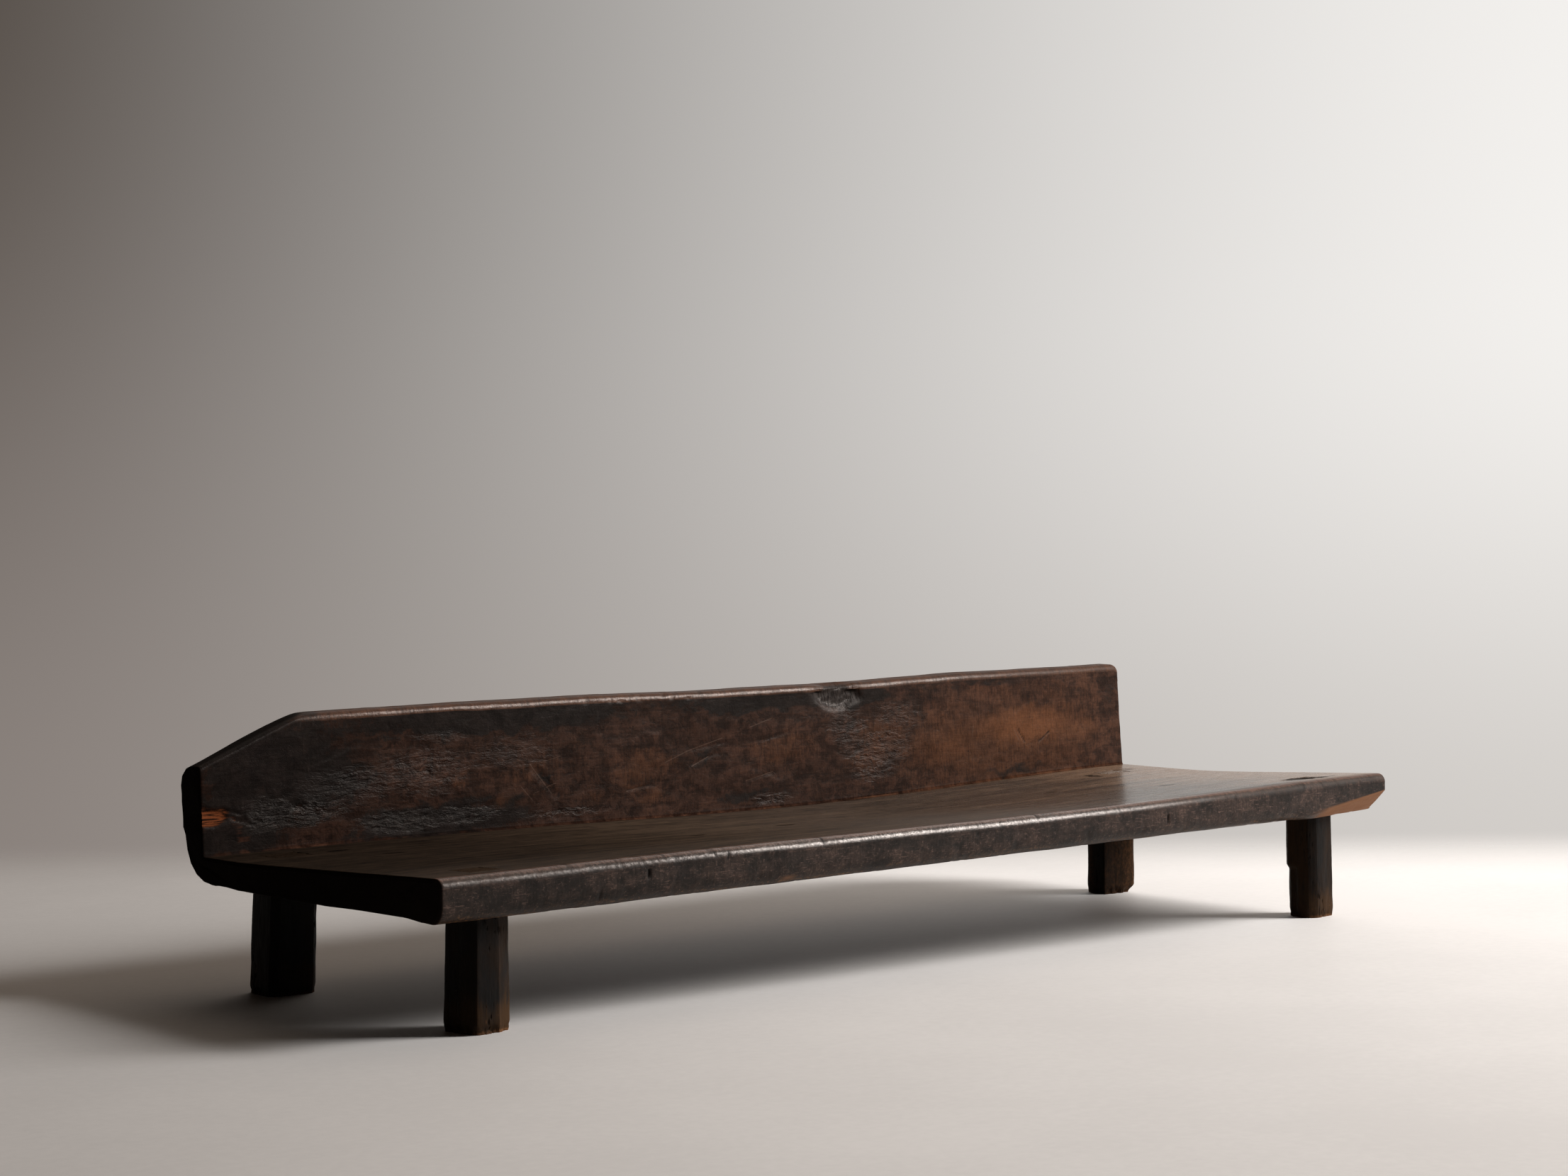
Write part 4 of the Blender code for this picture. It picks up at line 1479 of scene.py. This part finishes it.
        shell = Shell(LOG_VALUES)
        numbers = shell.add_points(points, values)
        closed = np.concatenate([numbers, numbers[:, :1]], axis=1)
        keep = np.ones((closed.shape[0] - 1, closed.shape[1] - 1), bool)
        for mortise in self.mortises:
            self.open_mortise(shell, mortise, rings, x, numbers, keep)
        shell.bridge(closed, keep)
        self.close_end(shell, rings, numbers[0], points[0], 1.0)
        self.close_end(shell, rings, numbers[-1], points[-1], -1.0)
        return shell.to_object("hewn_log", self.sharp_angle)

    @staticmethod
    def normals(points: Array, flat: bool) -> Array:
        """Outward unit normals of the rings, from the steps along and round them.

        Args:
            points: the rings' vertices.
            flat: whether the normals stay in each ring's own plane.

        Returns:
            One unit vector for each vertex.
        """
        around = np.roll(points, -1, axis=1) - np.roll(points, 1, axis=1)
        if flat:
            along = np.broadcast_to(np.array([1.0, 0.0, 0.0]), points.shape)
        else:
            along = np.gradient(points, axis=0)
        normal = np.cross(along, around)
        return normal / np.maximum(np.linalg.norm(normal, axis=-1, keepdims=True), 1e-12)

    def open_mortise(self, shell: Shell, mortise: Mortise, rings: Outline, x: Array, numbers: Array,
                     keep: Array) -> None:
        """Open a mortise through the seat and line it with walls.

        Args:
            shell: the shell that gets the walls.
            mortise: the hole.
            rings: the log's rings.
            x: stations along the log.
            numbers: vertex numbers of the rings.
            keep: cells of the rings that are filled; the hole's are switched off.
        """
        first, last = (int(np.argmin(np.abs(x - mortise.x - side * mortise.half_width))) for side in (-1, 1))

        def columns(run: Run) -> Array:
            """Columns of a stretch that lie on the hole, from its front edge to its rear edge."""
            own = rings.columns(run)
            y = rings.y[0, own]
            inside = own[np.abs(y - mortise.y) < mortise.half_depth + 1e-5]
            return inside[np.argsort(rings.y[0, inside])]

        loops = []
        for run in (Run.SEAT, Run.UNDERSIDE):
            span = columns(run)
            keep[first:last, span.min():span.max()] = False
            block = numbers[first:last + 1][:, span]
            loops.append(np.concatenate([block[:-1, 0], block[-1, :-1], block[:0:-1, -1], block[0, ::-1]]))
        shell.bridge(np.stack(loops))

    def close_end(self, shell: Shell, rings: Outline, ring: Array, places: Array, inward: float) -> None:
        """Close one end of the log with a hewn face: lines across its thickness, front edge to top.

        Args:
            shell: the shell that gets the face.
            rings: the log's rings.
            ring: vertex numbers of the last ring.
            places: the last ring's vertices.
            inward: direction along X that goes into the log.
        """
        start = int(np.median(rings.columns(Run.FRONT)))
        end = int(np.median(rings.columns(Run.TOP)))
        inner = np.arange(start, end + 1)
        outer = np.concatenate([np.arange(start, -1, -1), np.arange(len(ring) - 1, end - 1, -1)])

        def chain_places(chain: Array, bend: Run) -> Array:
            """Places along a chain from 0 to 1, with its bend at a fixed share."""
            steps = np.linalg.norm(np.diff(places[chain], axis=0), axis=1)
            walked = np.concatenate([[0.0], np.cumsum(steps)])
            knee = walked[int(np.median(np.nonzero(np.isin(chain, rings.columns(bend)))[0]))]
            return np.interp(walked, [0.0, knee, walked[-1]], [0.0, self.knee_share, 1.0])

        inner_at, outer_at = chain_places(inner, Run.COVE), chain_places(outer, Run.HEEL)
        at = np.linspace(0.0, 1.0, self.end_columns + 2)[1:-1]
        sides = [np.stack([np.interp(at, where, places[chain][:, axis]) for axis in range(3)], axis=-1)
                 for chain, where in ((inner, inner_at), (outer, outer_at))]
        share = np.linspace(0.0, 1.0, self.end_lines + 2)[1:-1][:, None, None]
        face = lerp(sides[0][None], sides[1][None], share)
        y, z = face[..., 1], face[..., 2]
        rim = 1.0 - np.abs(2.0 * share[..., 0] - 1.0)
        hewn = 0.0010 * fractal(y * 30.0, z * 30.0, 101, 5) + 0.0012 * fractal(y * 9.0, z * 14.0, 103, 3)
        check = smooth_step(0.10, 0.0, np.abs(waves(y * 7.0, z * 26.0, 107)))
        check = check * smooth_step(0.1, 0.5, waves(y * 6.0, z * 9.0, 109))
        face[..., 0] += inward * smooth_step(0.0, 0.12, rim) * (hewn + 0.0025 * check)
        # both ends take the near-black end-grain colour, partly painted shade
        values = {"end": np.ones(y.shape), "crack": 0.8 * check, "soot_and_shade": np.full(y.shape, 0.5)}
        block = shell.add_points(face, values)
        shell.bridge(block)
        shell.zip(ring[inner[1:-1]], inner_at[1:-1], block[0], at)
        shell.zip(ring[outer[1:-1]], outer_at[1:-1], block[-1], at)
        for pole, column, near in ((ring[start], block[:, 0], 1), (ring[end], block[:, -1], -2)):
            shell.fan(pole, np.concatenate([[ring[inner[near]]], column, [ring[outer[near]]]]))

    def dress(self, piece: bpy.types.Object, finish: LogFinish) -> None:
        """Give the log its finish, hang it on the bench and hide the part it stands for."""
        piece.data.materials.append(finish.material())
        declare(piece, "seat_and_back")


def declare(piece: bpy.types.Object, node: str) -> None:
    """Let a piece ride on the bench, stand for its node by hiding that part, and log its triangle count."""
    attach(piece, BODY)
    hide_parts(node)
    piece.data.calc_loop_triangles()
    LOGGER.info("%s: %d triangles", piece.name, len(piece.data.loop_triangles))


def add_block(shell: Shell, low: tuple[float, float], high: tuple[float, float], bottom: float,
              top: Callable[[Array, Array], Array], edge: float, seed: int, tone: float) -> None:
    """Add a closed upright block with a top that follows a surface: rectangles drawn in over the top.

    Args:
        shell: the shell that gets the block.
        low: lowest x and y.
        high: highest x and y.
        bottom: height of the underside.
        top: height of the top at each x and y.
        edge: rounding of the top's edge.
        seed: picks the top's unevenness.
        tone: how light the top is, as the seat around it.
    """
    half_x, half_y = (high[0] - low[0]) / 2.0, (high[1] - low[1]) / 2.0
    middle_x, middle_y = (high[0] + low[0]) / 2.0, (high[1] + low[1]) / 2.0
    corner = np.linspace(-1.0, 1.0, 18)[:-1]
    one = np.ones_like(corner)
    ring_x = np.concatenate([corner, one, -corner, -one])
    ring_y = np.concatenate([-one, corner, one, -corner])
    turn = np.linspace(0.0, math.pi / 2.0, 4)
    over_top = np.linspace(edge, min(half_x, half_y), 7)[1:-1]
    drawn = np.concatenate([[0.0], edge * (1.0 - np.cos(turn)), over_top])
    fall = np.concatenate([[0.0], edge * (1.0 - np.sin(turn)), np.zeros(5)])
    x = middle_x + ring_x[None, :] * (half_x - drawn[:, None])
    y = middle_y + ring_y[None, :] * (half_y - drawn[:, None])
    uneven = 0.0006 * fractal(x * 120.0, y * 120.0, seed, 3)
    z = top(x, y) - fall[:, None] + uneven
    z[0] = bottom
    level = np.concatenate([[0.0], np.full(len(drawn) - 1, 1.0)])[:, None] + np.zeros_like(x)
    values = {"flush": level, "tone": level * tone}
    closed = shell.wrap(shell.add_points(np.stack([x, y, z], axis=-1), values))
    middles = np.array([(middle_x, middle_y, bottom), (middle_x, middle_y, np.mean(z[-1]))])
    lid = np.array([0.0, 1.0])
    shell.cap(closed, middles, {"flush": lid, "tone": lid * tone})


@dataclass(frozen=True)
class Split:
    """Wood split off a post beside one direction, from the foot up to a height; angles in degrees."""

    angle: float
    spread: float
    top: float
    ease: float
    depth: float

    def weight(self, angle: Array, height: Array) -> Array:
        """Depth lost at each angle (in degrees) and height."""
        off = np.abs((angle - self.angle + 180.0) % 360.0 - 180.0)
        beside = smooth_step(self.spread, self.spread * 0.4, off)
        return self.depth * beside * smooth_step(self.top, self.top - self.ease, height)


@dataclass
class Post:
    """A leg: a square post with its corners taken off, standing up into the log with a split tenon.

    Pairs give a value for an angle in degrees, from +X towards +Y: faces is painted shade, how dark each side
    is painted, lowest on the sides turned away from the key lamp; golden how brown, cuts how far from the
    axis a further flat lies. Aside is the post's shift along X off its tenon.
    """

    node: str
    wedge_node: str
    x: float
    y: float
    width: float
    depth: float
    foot_growth: float
    foot_shift: float
    seed: int
    chewed: float = 0.5
    turn: float = 0.0
    tenon_tone: float = 0.15
    golden: Pairs = ((0.0, 0.0),)
    aside: float = 0.0
    # painted shade per side: 1 keeps the wood's own colour, lower values paint that side darker
    faces: Pairs = ((0.0, 1.0),)
    splits: tuple[Split, ...] = ()
    cuts: Pairs = ()
    corner: float = 0.011
    crispness: float = 420.0
    shoulder: float = 0.008
    kerf: float = 0.0096
    joint_gap: float = 0.0004
    wedge_depth: float = 0.038
    rings: int = 74
    sides: int = 168
    foot_rings: int = 13
    foot_share: float = 0.12
    hewn_depth: float = 0.0006
    facet_depth: float = 0.0004
    crack_depth: float = 0.0016
    arris_wear: float = 0.0006
    foot_wear: float = 0.0012
    bite_depth: float = 0.0060
    sole_hollow: float = 0.0015
    head_drop: float = 0.0004
    sharp_angle: float = 24.0
    wedge_sharp_angle: float = 40.0

    def mortise(self) -> Mortise:
        """The hole that the tenon goes through."""
        return Mortise(self.x, self.y, self.width / 2.0 - self.shoulder, self.depth / 2.0 - self.shoulder)

    @staticmethod
    def read_off(pairs: Pairs, angle: Array) -> Array:
        """Value at each angle, in radians, between the pairs' angles."""
        return np.interp(np.degrees(angle), *zip(*pairs), period=360.0)

    def surface(self, log: HewnLog) -> tuple[Array, dict[str, Array]]:
        """Post from foot to log: flats about an axis, radius by angle, with hewn faces and a worn foot.

        The radius is one over the largest of each flat's cosine divided by its distance, the corners
        between them eased by a sum of high powers.

        Args:
            log: the log that the post carries.

        Returns:
            The rings' vertices and their values.
        """
        angle = np.linspace(0.0, 2.0 * math.pi, self.sides, endpoint=False)[None, :]
        below = np.linspace(0.0, self.foot_share, self.foot_rings + 1)[:-1]
        above = np.linspace(self.foot_share, 1.0, self.rings - self.foot_rings)
        share = np.concatenate([below, above])[:, None]
        height = float(log.underside(self.x)) - 0.0005
        z = share * height
        spread = self.foot_growth / 2.0 * (1.0 - share)
        half_x, half_y = self.width / 2.0 + spread, self.depth / 2.0 + spread
        seen = angle - math.radians(self.turn)
        cosine, sine = np.abs(np.cos(seen)), np.abs(np.sin(seen))
        bevel = half_x + half_y - self.corner
        flats = [cosine / half_x, sine / half_y, (cosine + sine) / bevel]
        for side, reach in self.cuts:
            flats.append(np.maximum(np.cos(angle - math.radians(side)), 0.01) / (reach + spread))
        flats = np.stack(flats)
        nearest = np.sort(flats, axis=0)
        crowd = np.sum((flats / nearest[-1]) ** self.crispness, axis=0)
        radius = crowd ** (-1.0 / self.crispness) / nearest[-1]
        arris = smooth_step(0.90, 0.995, nearest[-2] / nearest[-1])
        turn = angle / (2.0 * math.pi)
        around = np.abs(2.0 * turn - 1.0) * 0.13
        hand = np.where(turn < 0.5, 0.0, 3.7)
        hewn = self.hewn_depth * fractal(around * 40.0 + hand, z * 16.0, self.seed, 4)
        facet = self.facet_depth * waves(around * 22.0 + hand, z * 30.0, self.seed + 3)
        line = fractal(around * 150.0 + hand * 9.0, z * 7.0, self.seed + 5, 2)
        opened = smooth_step(0.05, 0.4, waves(around * 30.0 + hand, z * 9.0, self.seed + 7))
        crack = smooth_step(0.05, 0.0, np.abs(line)) * opened
        low = smooth_step(0.016, 0.0, z)
        bites = np.clip(fractal(around * 70.0 + hand, z * 40.0, self.seed + 9, 4) + 0.25, 0.0, 1.2)
        foot = low * (self.foot_wear + self.bite_depth * self.chewed * bites)
        lost = sum(split.weight(np.degrees(angle), z) for split in self.splits)
        radius = radius + hewn + facet - self.crack_depth * crack - foot - self.arris_wear * arris - lost
        axis = self.x + self.aside + self.foot_shift * (1.0 - share)
        points = np.stack([axis + radius * np.cos(angle), self.y + radius * np.sin(angle),
                           np.broadcast_to(z, radius.shape)], axis=-1)
        worn = np.maximum(smooth_step(0.012, 0.0, z), smooth_step(0.075, 0.02, z) * 0.55)
        return points, {"arris": arris * lerp(0.95, 0.45, smooth_step(0.01, 0.09, z)), "crack": 0.9 * crack,
                        # painted shade per side, read off the faces pairs
                        "painted_side_shade": self.read_off(self.faces, angle),
                        "foot": np.maximum(worn, self.read_off(self.golden, angle))}

    def build(self, log: HewnLog) -> bpy.types.Object:
        """Build the post and the two cheeks of its tenon as closed shells in one piece.

        Args:
            log: the log that the post carries.

        Returns:
            The piece.
        """
        shell = Shell(POST_VALUES)
        points, values = self.surface(log)
        closed = shell.wrap(shell.add_points(points, values))
        middles = np.stack([points[0].mean(axis=0) + (0.0, 0.0, self.sole_hollow), points[-1].mean(axis=0)])
        shell.cap(closed, middles, {"foot": np.array([0.8, 0.0])})
        hole = self.mortise()
        bottom = float(log.underside(self.x)) - 0.004
        span_x = hole.half_width - self.joint_gap
        for side in (-1.0, 1.0):
            edges = sorted((side * (hole.half_depth - self.joint_gap), side * self.kerf / 2.0))
            low, high = (self.x - span_x, self.y + edges[0]), (self.x + span_x, self.y + edges[1])
            add_block(shell, low, high, bottom, lambda x, y: log.seat_height(x, y) - self.head_drop,
                      0.0010, self.seed + 20, self.tenon_tone)
        return shell.to_object(self.node.replace("leg", "post"), self.sharp_angle)

    def build_wedge(self, log: HewnLog) -> bpy.types.Object:
        """Build the wedge between the tenon's cheeks, its head level with the seat.

        Args:
            log: the log that the post carries.

        Returns:
            The piece.
        """
        hole = self.mortise()
        shell = Shell(POST_VALUES)
        half = self.kerf / 2.0 - 0.0005
        top = float(log.seat_height(self.x, self.y))
        low = (self.x - hole.half_width + self.joint_gap, self.y - half)
        high = (self.x + hole.half_width - self.joint_gap, self.y + half)
        add_block(shell, low, high, top - self.wedge_depth, log.seat_height,
                  0.0008, self.seed + 30, self.tenon_tone)
        name = self.wedge_node.replace("wedge", "split_wedge")
        return shell.to_object(name, self.wedge_sharp_angle)

    def dress(self, post: bpy.types.Object, wedge: bpy.types.Object, wood: bpy.types.Material,
              wedge_wood: bpy.types.Material) -> None:
        """Give the post and its wedge their finishes, hang them on the bench and hide the parts they stand
        for.

        Args:
            post: the post's piece.
            wedge: the wedge's piece.
            wood: the post's finish.
            wedge_wood: the wedge's finish.
        """
        post.data.materials.append(wood)
        declare(post, self.node)
        wedge.data.materials.append(wedge_wood)
        declare(wedge, self.wedge_node)


@dataclass(frozen=True)
class Studio:
    """Camera, light, world and floor: a long view from the front left, one soft key from the right."""

    eye: tuple[float, float, float] = (-3.50236, -4.02687, 0.76077)
    yaw: float = 0.703431129
    pitch: float = -0.0313319809
    roll: float = -0.00795698989
    lens: float = 74.86
    sensor: float = 36.0
    key_place: tuple[float, float, float] = (4.0, -3.0, 3.45)
    key_aim: tuple[float, float, float] = (0.0, 0.0, 0.2)
    key_width: float = 2.0
    key_height: float = 2.9
    key_power: float = 445.0
    bounce_place: tuple[float, float, float] = (1.75, 1.25, 0.45)
    bounce_aim: tuple[float, float, float] = (0.45, -0.28, 0.0)
    bounce_width: float = 2.2
    bounce_height: float = 0.8
    bounce_power: float = 13.0
    fill: Colour = (0.45, 0.375, 0.31)
    dim: Colour = (0.030, 0.029, 0.028)
    left_high: Colour = (0.070, 0.054, 0.043)
    left_low: Colour = (0.245, 0.212, 0.193)
    right_high: Colour = (0.925, 0.905, 0.880)
    right_low: Colour = (0.660, 0.630, 0.600)
    floor_colour: Colour = (0.86, 0.815, 0.78)
    floor_reach: float = 9.0

    def rightwards(self) -> tuple[float, float, float]:
        """Level direction to the right of the view."""
        return math.cos(self.yaw), -math.sin(self.yaw), 0.0

    def forwards(self) -> tuple[float, float, float]:
        """Level direction of the view."""
        return math.sin(self.yaw), math.cos(self.yaw), 0.0

    def add_camera(self) -> None:
        """Place the camera by its eye and its turns about the upright, the level and the view axis."""
        level = math.cos(self.pitch)
        forward = Vector((math.sin(self.yaw) * level, math.cos(self.yaw) * level, math.sin(self.pitch)))
        right = Vector(self.rightwards())
        up = right.cross(forward)
        cosine, sine = math.cos(self.roll), math.sin(self.roll)
        rolled_right = cosine * right + sine * up
        rolled_up = cosine * up - sine * right
        data = bpy.data.cameras.new("view")
        data.lens, data.sensor_width, data.sensor_fit = self.lens, self.sensor, "HORIZONTAL"
        camera = bpy.data.objects.new("view", data)
        turned = Matrix((rolled_right, rolled_up, -forward)).transposed().to_4x4()
        camera.matrix_world = Matrix.Translation(self.eye) @ turned
        bpy.context.scene.collection.objects.link(camera)
        bpy.context.scene.camera = camera

    @staticmethod
    def add_lamp(name: str, place: tuple[float, float, float], aim: tuple[float, float, float],
                 size: tuple[float, float], power: float) -> bpy.types.Object:
        """Place a soft oblong lamp.

        Args:
            name: its name.
            place: where it hangs.
            aim: the point it faces.
            size: width and height.
            power: in watts.

        Returns:
            The lamp.
        """
        data = bpy.data.lights.new(name, "AREA")
        data.shape, data.size, data.size_y = "RECTANGLE", size[0], size[1]
        data.energy = power
        lamp = bpy.data.objects.new(name, data)
        lamp.location = place
        lamp.rotation_euler = (Vector(aim) - Vector(place)).to_track_quat("-Z", "Y").to_euler()
        bpy.context.scene.collection.objects.link(lamp)
        return lamp

    def add_lamps(self) -> None:
        """Hang the key at the right, and a low lamp behind that stands for light off the backdrop."""
        self.add_lamp("key", self.key_place, self.key_aim, (self.key_width, self.key_height), self.key_power)
        bounce = self.add_lamp("bounce", self.bounce_place, self.bounce_aim,
                               (self.bounce_width, self.bounce_height), self.bounce_power)
        bounce.visible_camera, bounce.visible_glossy = False, False

    def add_world(self) -> None:
        """A pale sweep ahead, lighter to the right, that the camera and gloss see; a dim room elsewhere."""
        world = bpy.data.worlds.new("studio")
        bpy.context.scene.world = world
        world.use_nodes = True
        graph = Graph(world.node_tree)
        direction = graph.tone("ShaderNodeTexCoord", {}, {}, "Generated")
        side = graph.dot(direction, self.rightwards())
        ahead = graph.dot(direction, self.forwards())
        up = graph.parts(direction)[2]
        left = graph.mix(up.over(-0.13, 0.17), self.left_low, self.left_high)
        right = graph.mix(up.over(-0.12, 0.06), self.right_low, self.right_high)
        sweep = graph.mix(side.over(-0.30, 0.30), left, right)
        room = graph.mix(ahead.over(-0.15, 0.55), self.dim, sweep)
        rays = graph.node("ShaderNodeLightPath", {}, {})
        names = ("Is Glossy Ray", "Is Transmission Ray", "Is Camera Ray")
        glossy, through, camera = (Tone(graph, rays.outputs[name]) for name in names)
        gloss = (glossy + through).clamp()
        slanted = graph.scaled(self.fill, 0.12 + side.over(-0.6, 0.6) * 1.75)
        level = graph.mix(gloss, slanted, (1.0, 1.0, 1.0))
        dimmed = graph.tone("ShaderNodeVectorMath", {"operation": "MULTIPLY"}, {0: room, 1: level})
        background = graph.node("ShaderNodeBackground", {}, {"Color": graph.mix(camera, dimmed, sweep)})
        graph.node("ShaderNodeOutputWorld", {}, {"Surface": background.outputs[0]})

    def add_floor(self) -> None:
        """Lay the pale floor as rings about the bench, with painted shade that darkens it towards the left;
        it fades out far from it.
        """
        radius = np.linspace(0.0, self.floor_reach, 19)[1:, None]
        angle = np.linspace(0.0, 2.0 * math.pi, 73)[None, :-1]
        rings = np.stack([radius * np.cos(angle), radius * np.sin(angle), 0.0 * radius * angle], axis=-1)
        shell = Shell(())
        closed = shell.wrap(shell.add_points(rings, {}))
        shell.fan(int(shell.add_points(np.zeros((1, 3)), {})[0]), closed[0])
        floor = shell.to_object("floor", 60.0)
        material, graph = new_material("pale_floor")
        places = graph.places()
        cloud = graph.cloud(places, (1.3, 1.3, 1.0), 6.0, 0.6)
        grit = graph.cloud(places, (60.0, 60.0, 1.0), 3.0, 0.6)
        darker = tuple(0.93 * part for part in self.floor_colour)
        colour = graph.mix((cloud * 0.7 + grit * 0.3).over(0.35, 0.65), darker, self.floor_colour)
        # painted shade: the floor is painted darker towards the left, as the fall-off of light away from the
        # key
        across = graph.dot(places, self.rightwards())
        colour = graph.scaled(colour, 0.85 + across.over(-1.2, 0.0) * 0.15)
        shader = graph.principled({
            "Base Color": colour, "Roughness": 0.60, "Specular IOR Level": 0.15})
        clear = graph.tone("ShaderNodeBsdfTransparent", {}, {})
        behind = graph.dot(places, self.forwards())
        away = graph.tone("ShaderNodeVectorMath", {"operation": "LENGTH"}, {0: places}, "Value")
        far = (behind.over(0.90, 1.75) + away.over(3.0, 6.0)).clamp()
        graph.output(graph.blend(far, shader, clear))
        floor.data.materials.append(material)

    def build(self) -> None:
        """Set up everything around the bench."""
        self.add_camera()
        self.add_lamps()
        self.add_world()
        self.add_floor()
        bpy.context.scene.view_settings.view_transform = "Standard"


# Each post's faces pairs are painted shade: how dark each side is painted, lowest on the sides turned away
# from the key lamp.
POSTS = (
    Post("leg_front_left", "wedge_front_left", -0.889, -0.270, 0.070, 0.072, 0.006, -0.002, 201, 0.9,
         turn=4.0, aside=0.0035, tenon_tone=0.30, corner=0.0,
         faces=((0.0, 0.8), (90.0, 0.5), (140.0, 0.2), (233.0, 0.15), (237.0, 0.33), (287.0, 0.33),
                (291.0, 0.7)),
         cuts=((198.0, 0.0369), (295.0, 0.0371), (139.0, 0.0440), (49.0, 0.0460))),
    Post("leg_front_right", "wedge_front_right", 0.880, -0.275, 0.061, 0.070, 0.001, 0.004, 231, 0.4,
         turn=3.0, tenon_tone=1.0, corner=0.0,
         faces=((0.0, 0.7), (120.0, 0.6), (140.0, 0.22), (217.0, 0.22), (219.0, 0.36), (242.5, 0.36),
                (245.0, 0.45)),
         golden=((130.0, 0.0), (136.0, 0.5), (216.0, 0.5), (219.0, 0.0)),
         cuts=((240.0, 0.0349), (278.0, 0.0290), (139.7, 0.0384), (49.0, 0.0440)),
         splits=(Split(140.0, 45.0, 0.092, 0.010, 0.0045),)),
    Post("leg_back_left", "wedge_back_left", -0.898, 0.217, 0.082, 0.074, 0.002, -0.007, 261, 0.6,
         faces=((0.0, 0.5), (150.0, 0.25), (180.0, 0.12), (270.0, 0.12), (320.0, 0.3))),
    Post("leg_back_right", "wedge_back_right", 0.873, 0.197, 0.076, 0.065, 0.001, 0.0, 291, 0.9,
         tenon_tone=1.0, golden=((0.0, 0.75),), cuts=((261.0, 0.0251),),
         faces=((0.0, 0.4), (90.0, 0.5), (180.0, 0.03), (205.0, 0.03), (210.0, 0.15), (270.0, 0.20),
                (312.0, 0.36)),
         splits=(Split(-35.0, 45.0, 0.016, 0.015, 0.010),)))
WEDGE_BROWN: Colour = (0.115, 0.071, 0.045)


def main() -> None:
    """Build the studio, the log, the posts and their wedges."""
    logging.basicConfig(level=logging.INFO, format="%(name)s %(message)s")
    Studio().build()
    low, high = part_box("seat_and_back")
    log = HewnLog(left=low.x, right=high.x, front=low.y, rear=high.y, top=high.z, underside_left=low.z,
                  mortises=tuple(post.mortise() for post in POSTS))
    log.dress(log.build(), LogFinish())
    post_wood = PostFinish().material()
    wedge_wood = PostFinish(name="wedge_end_grain", flush_brown=WEDGE_BROWN).material()
    for post in POSTS:
        post.dress(post.build(log), post.build_wedge(log), post_wood, wedge_wood)


if __name__ == "__main__":
    main()
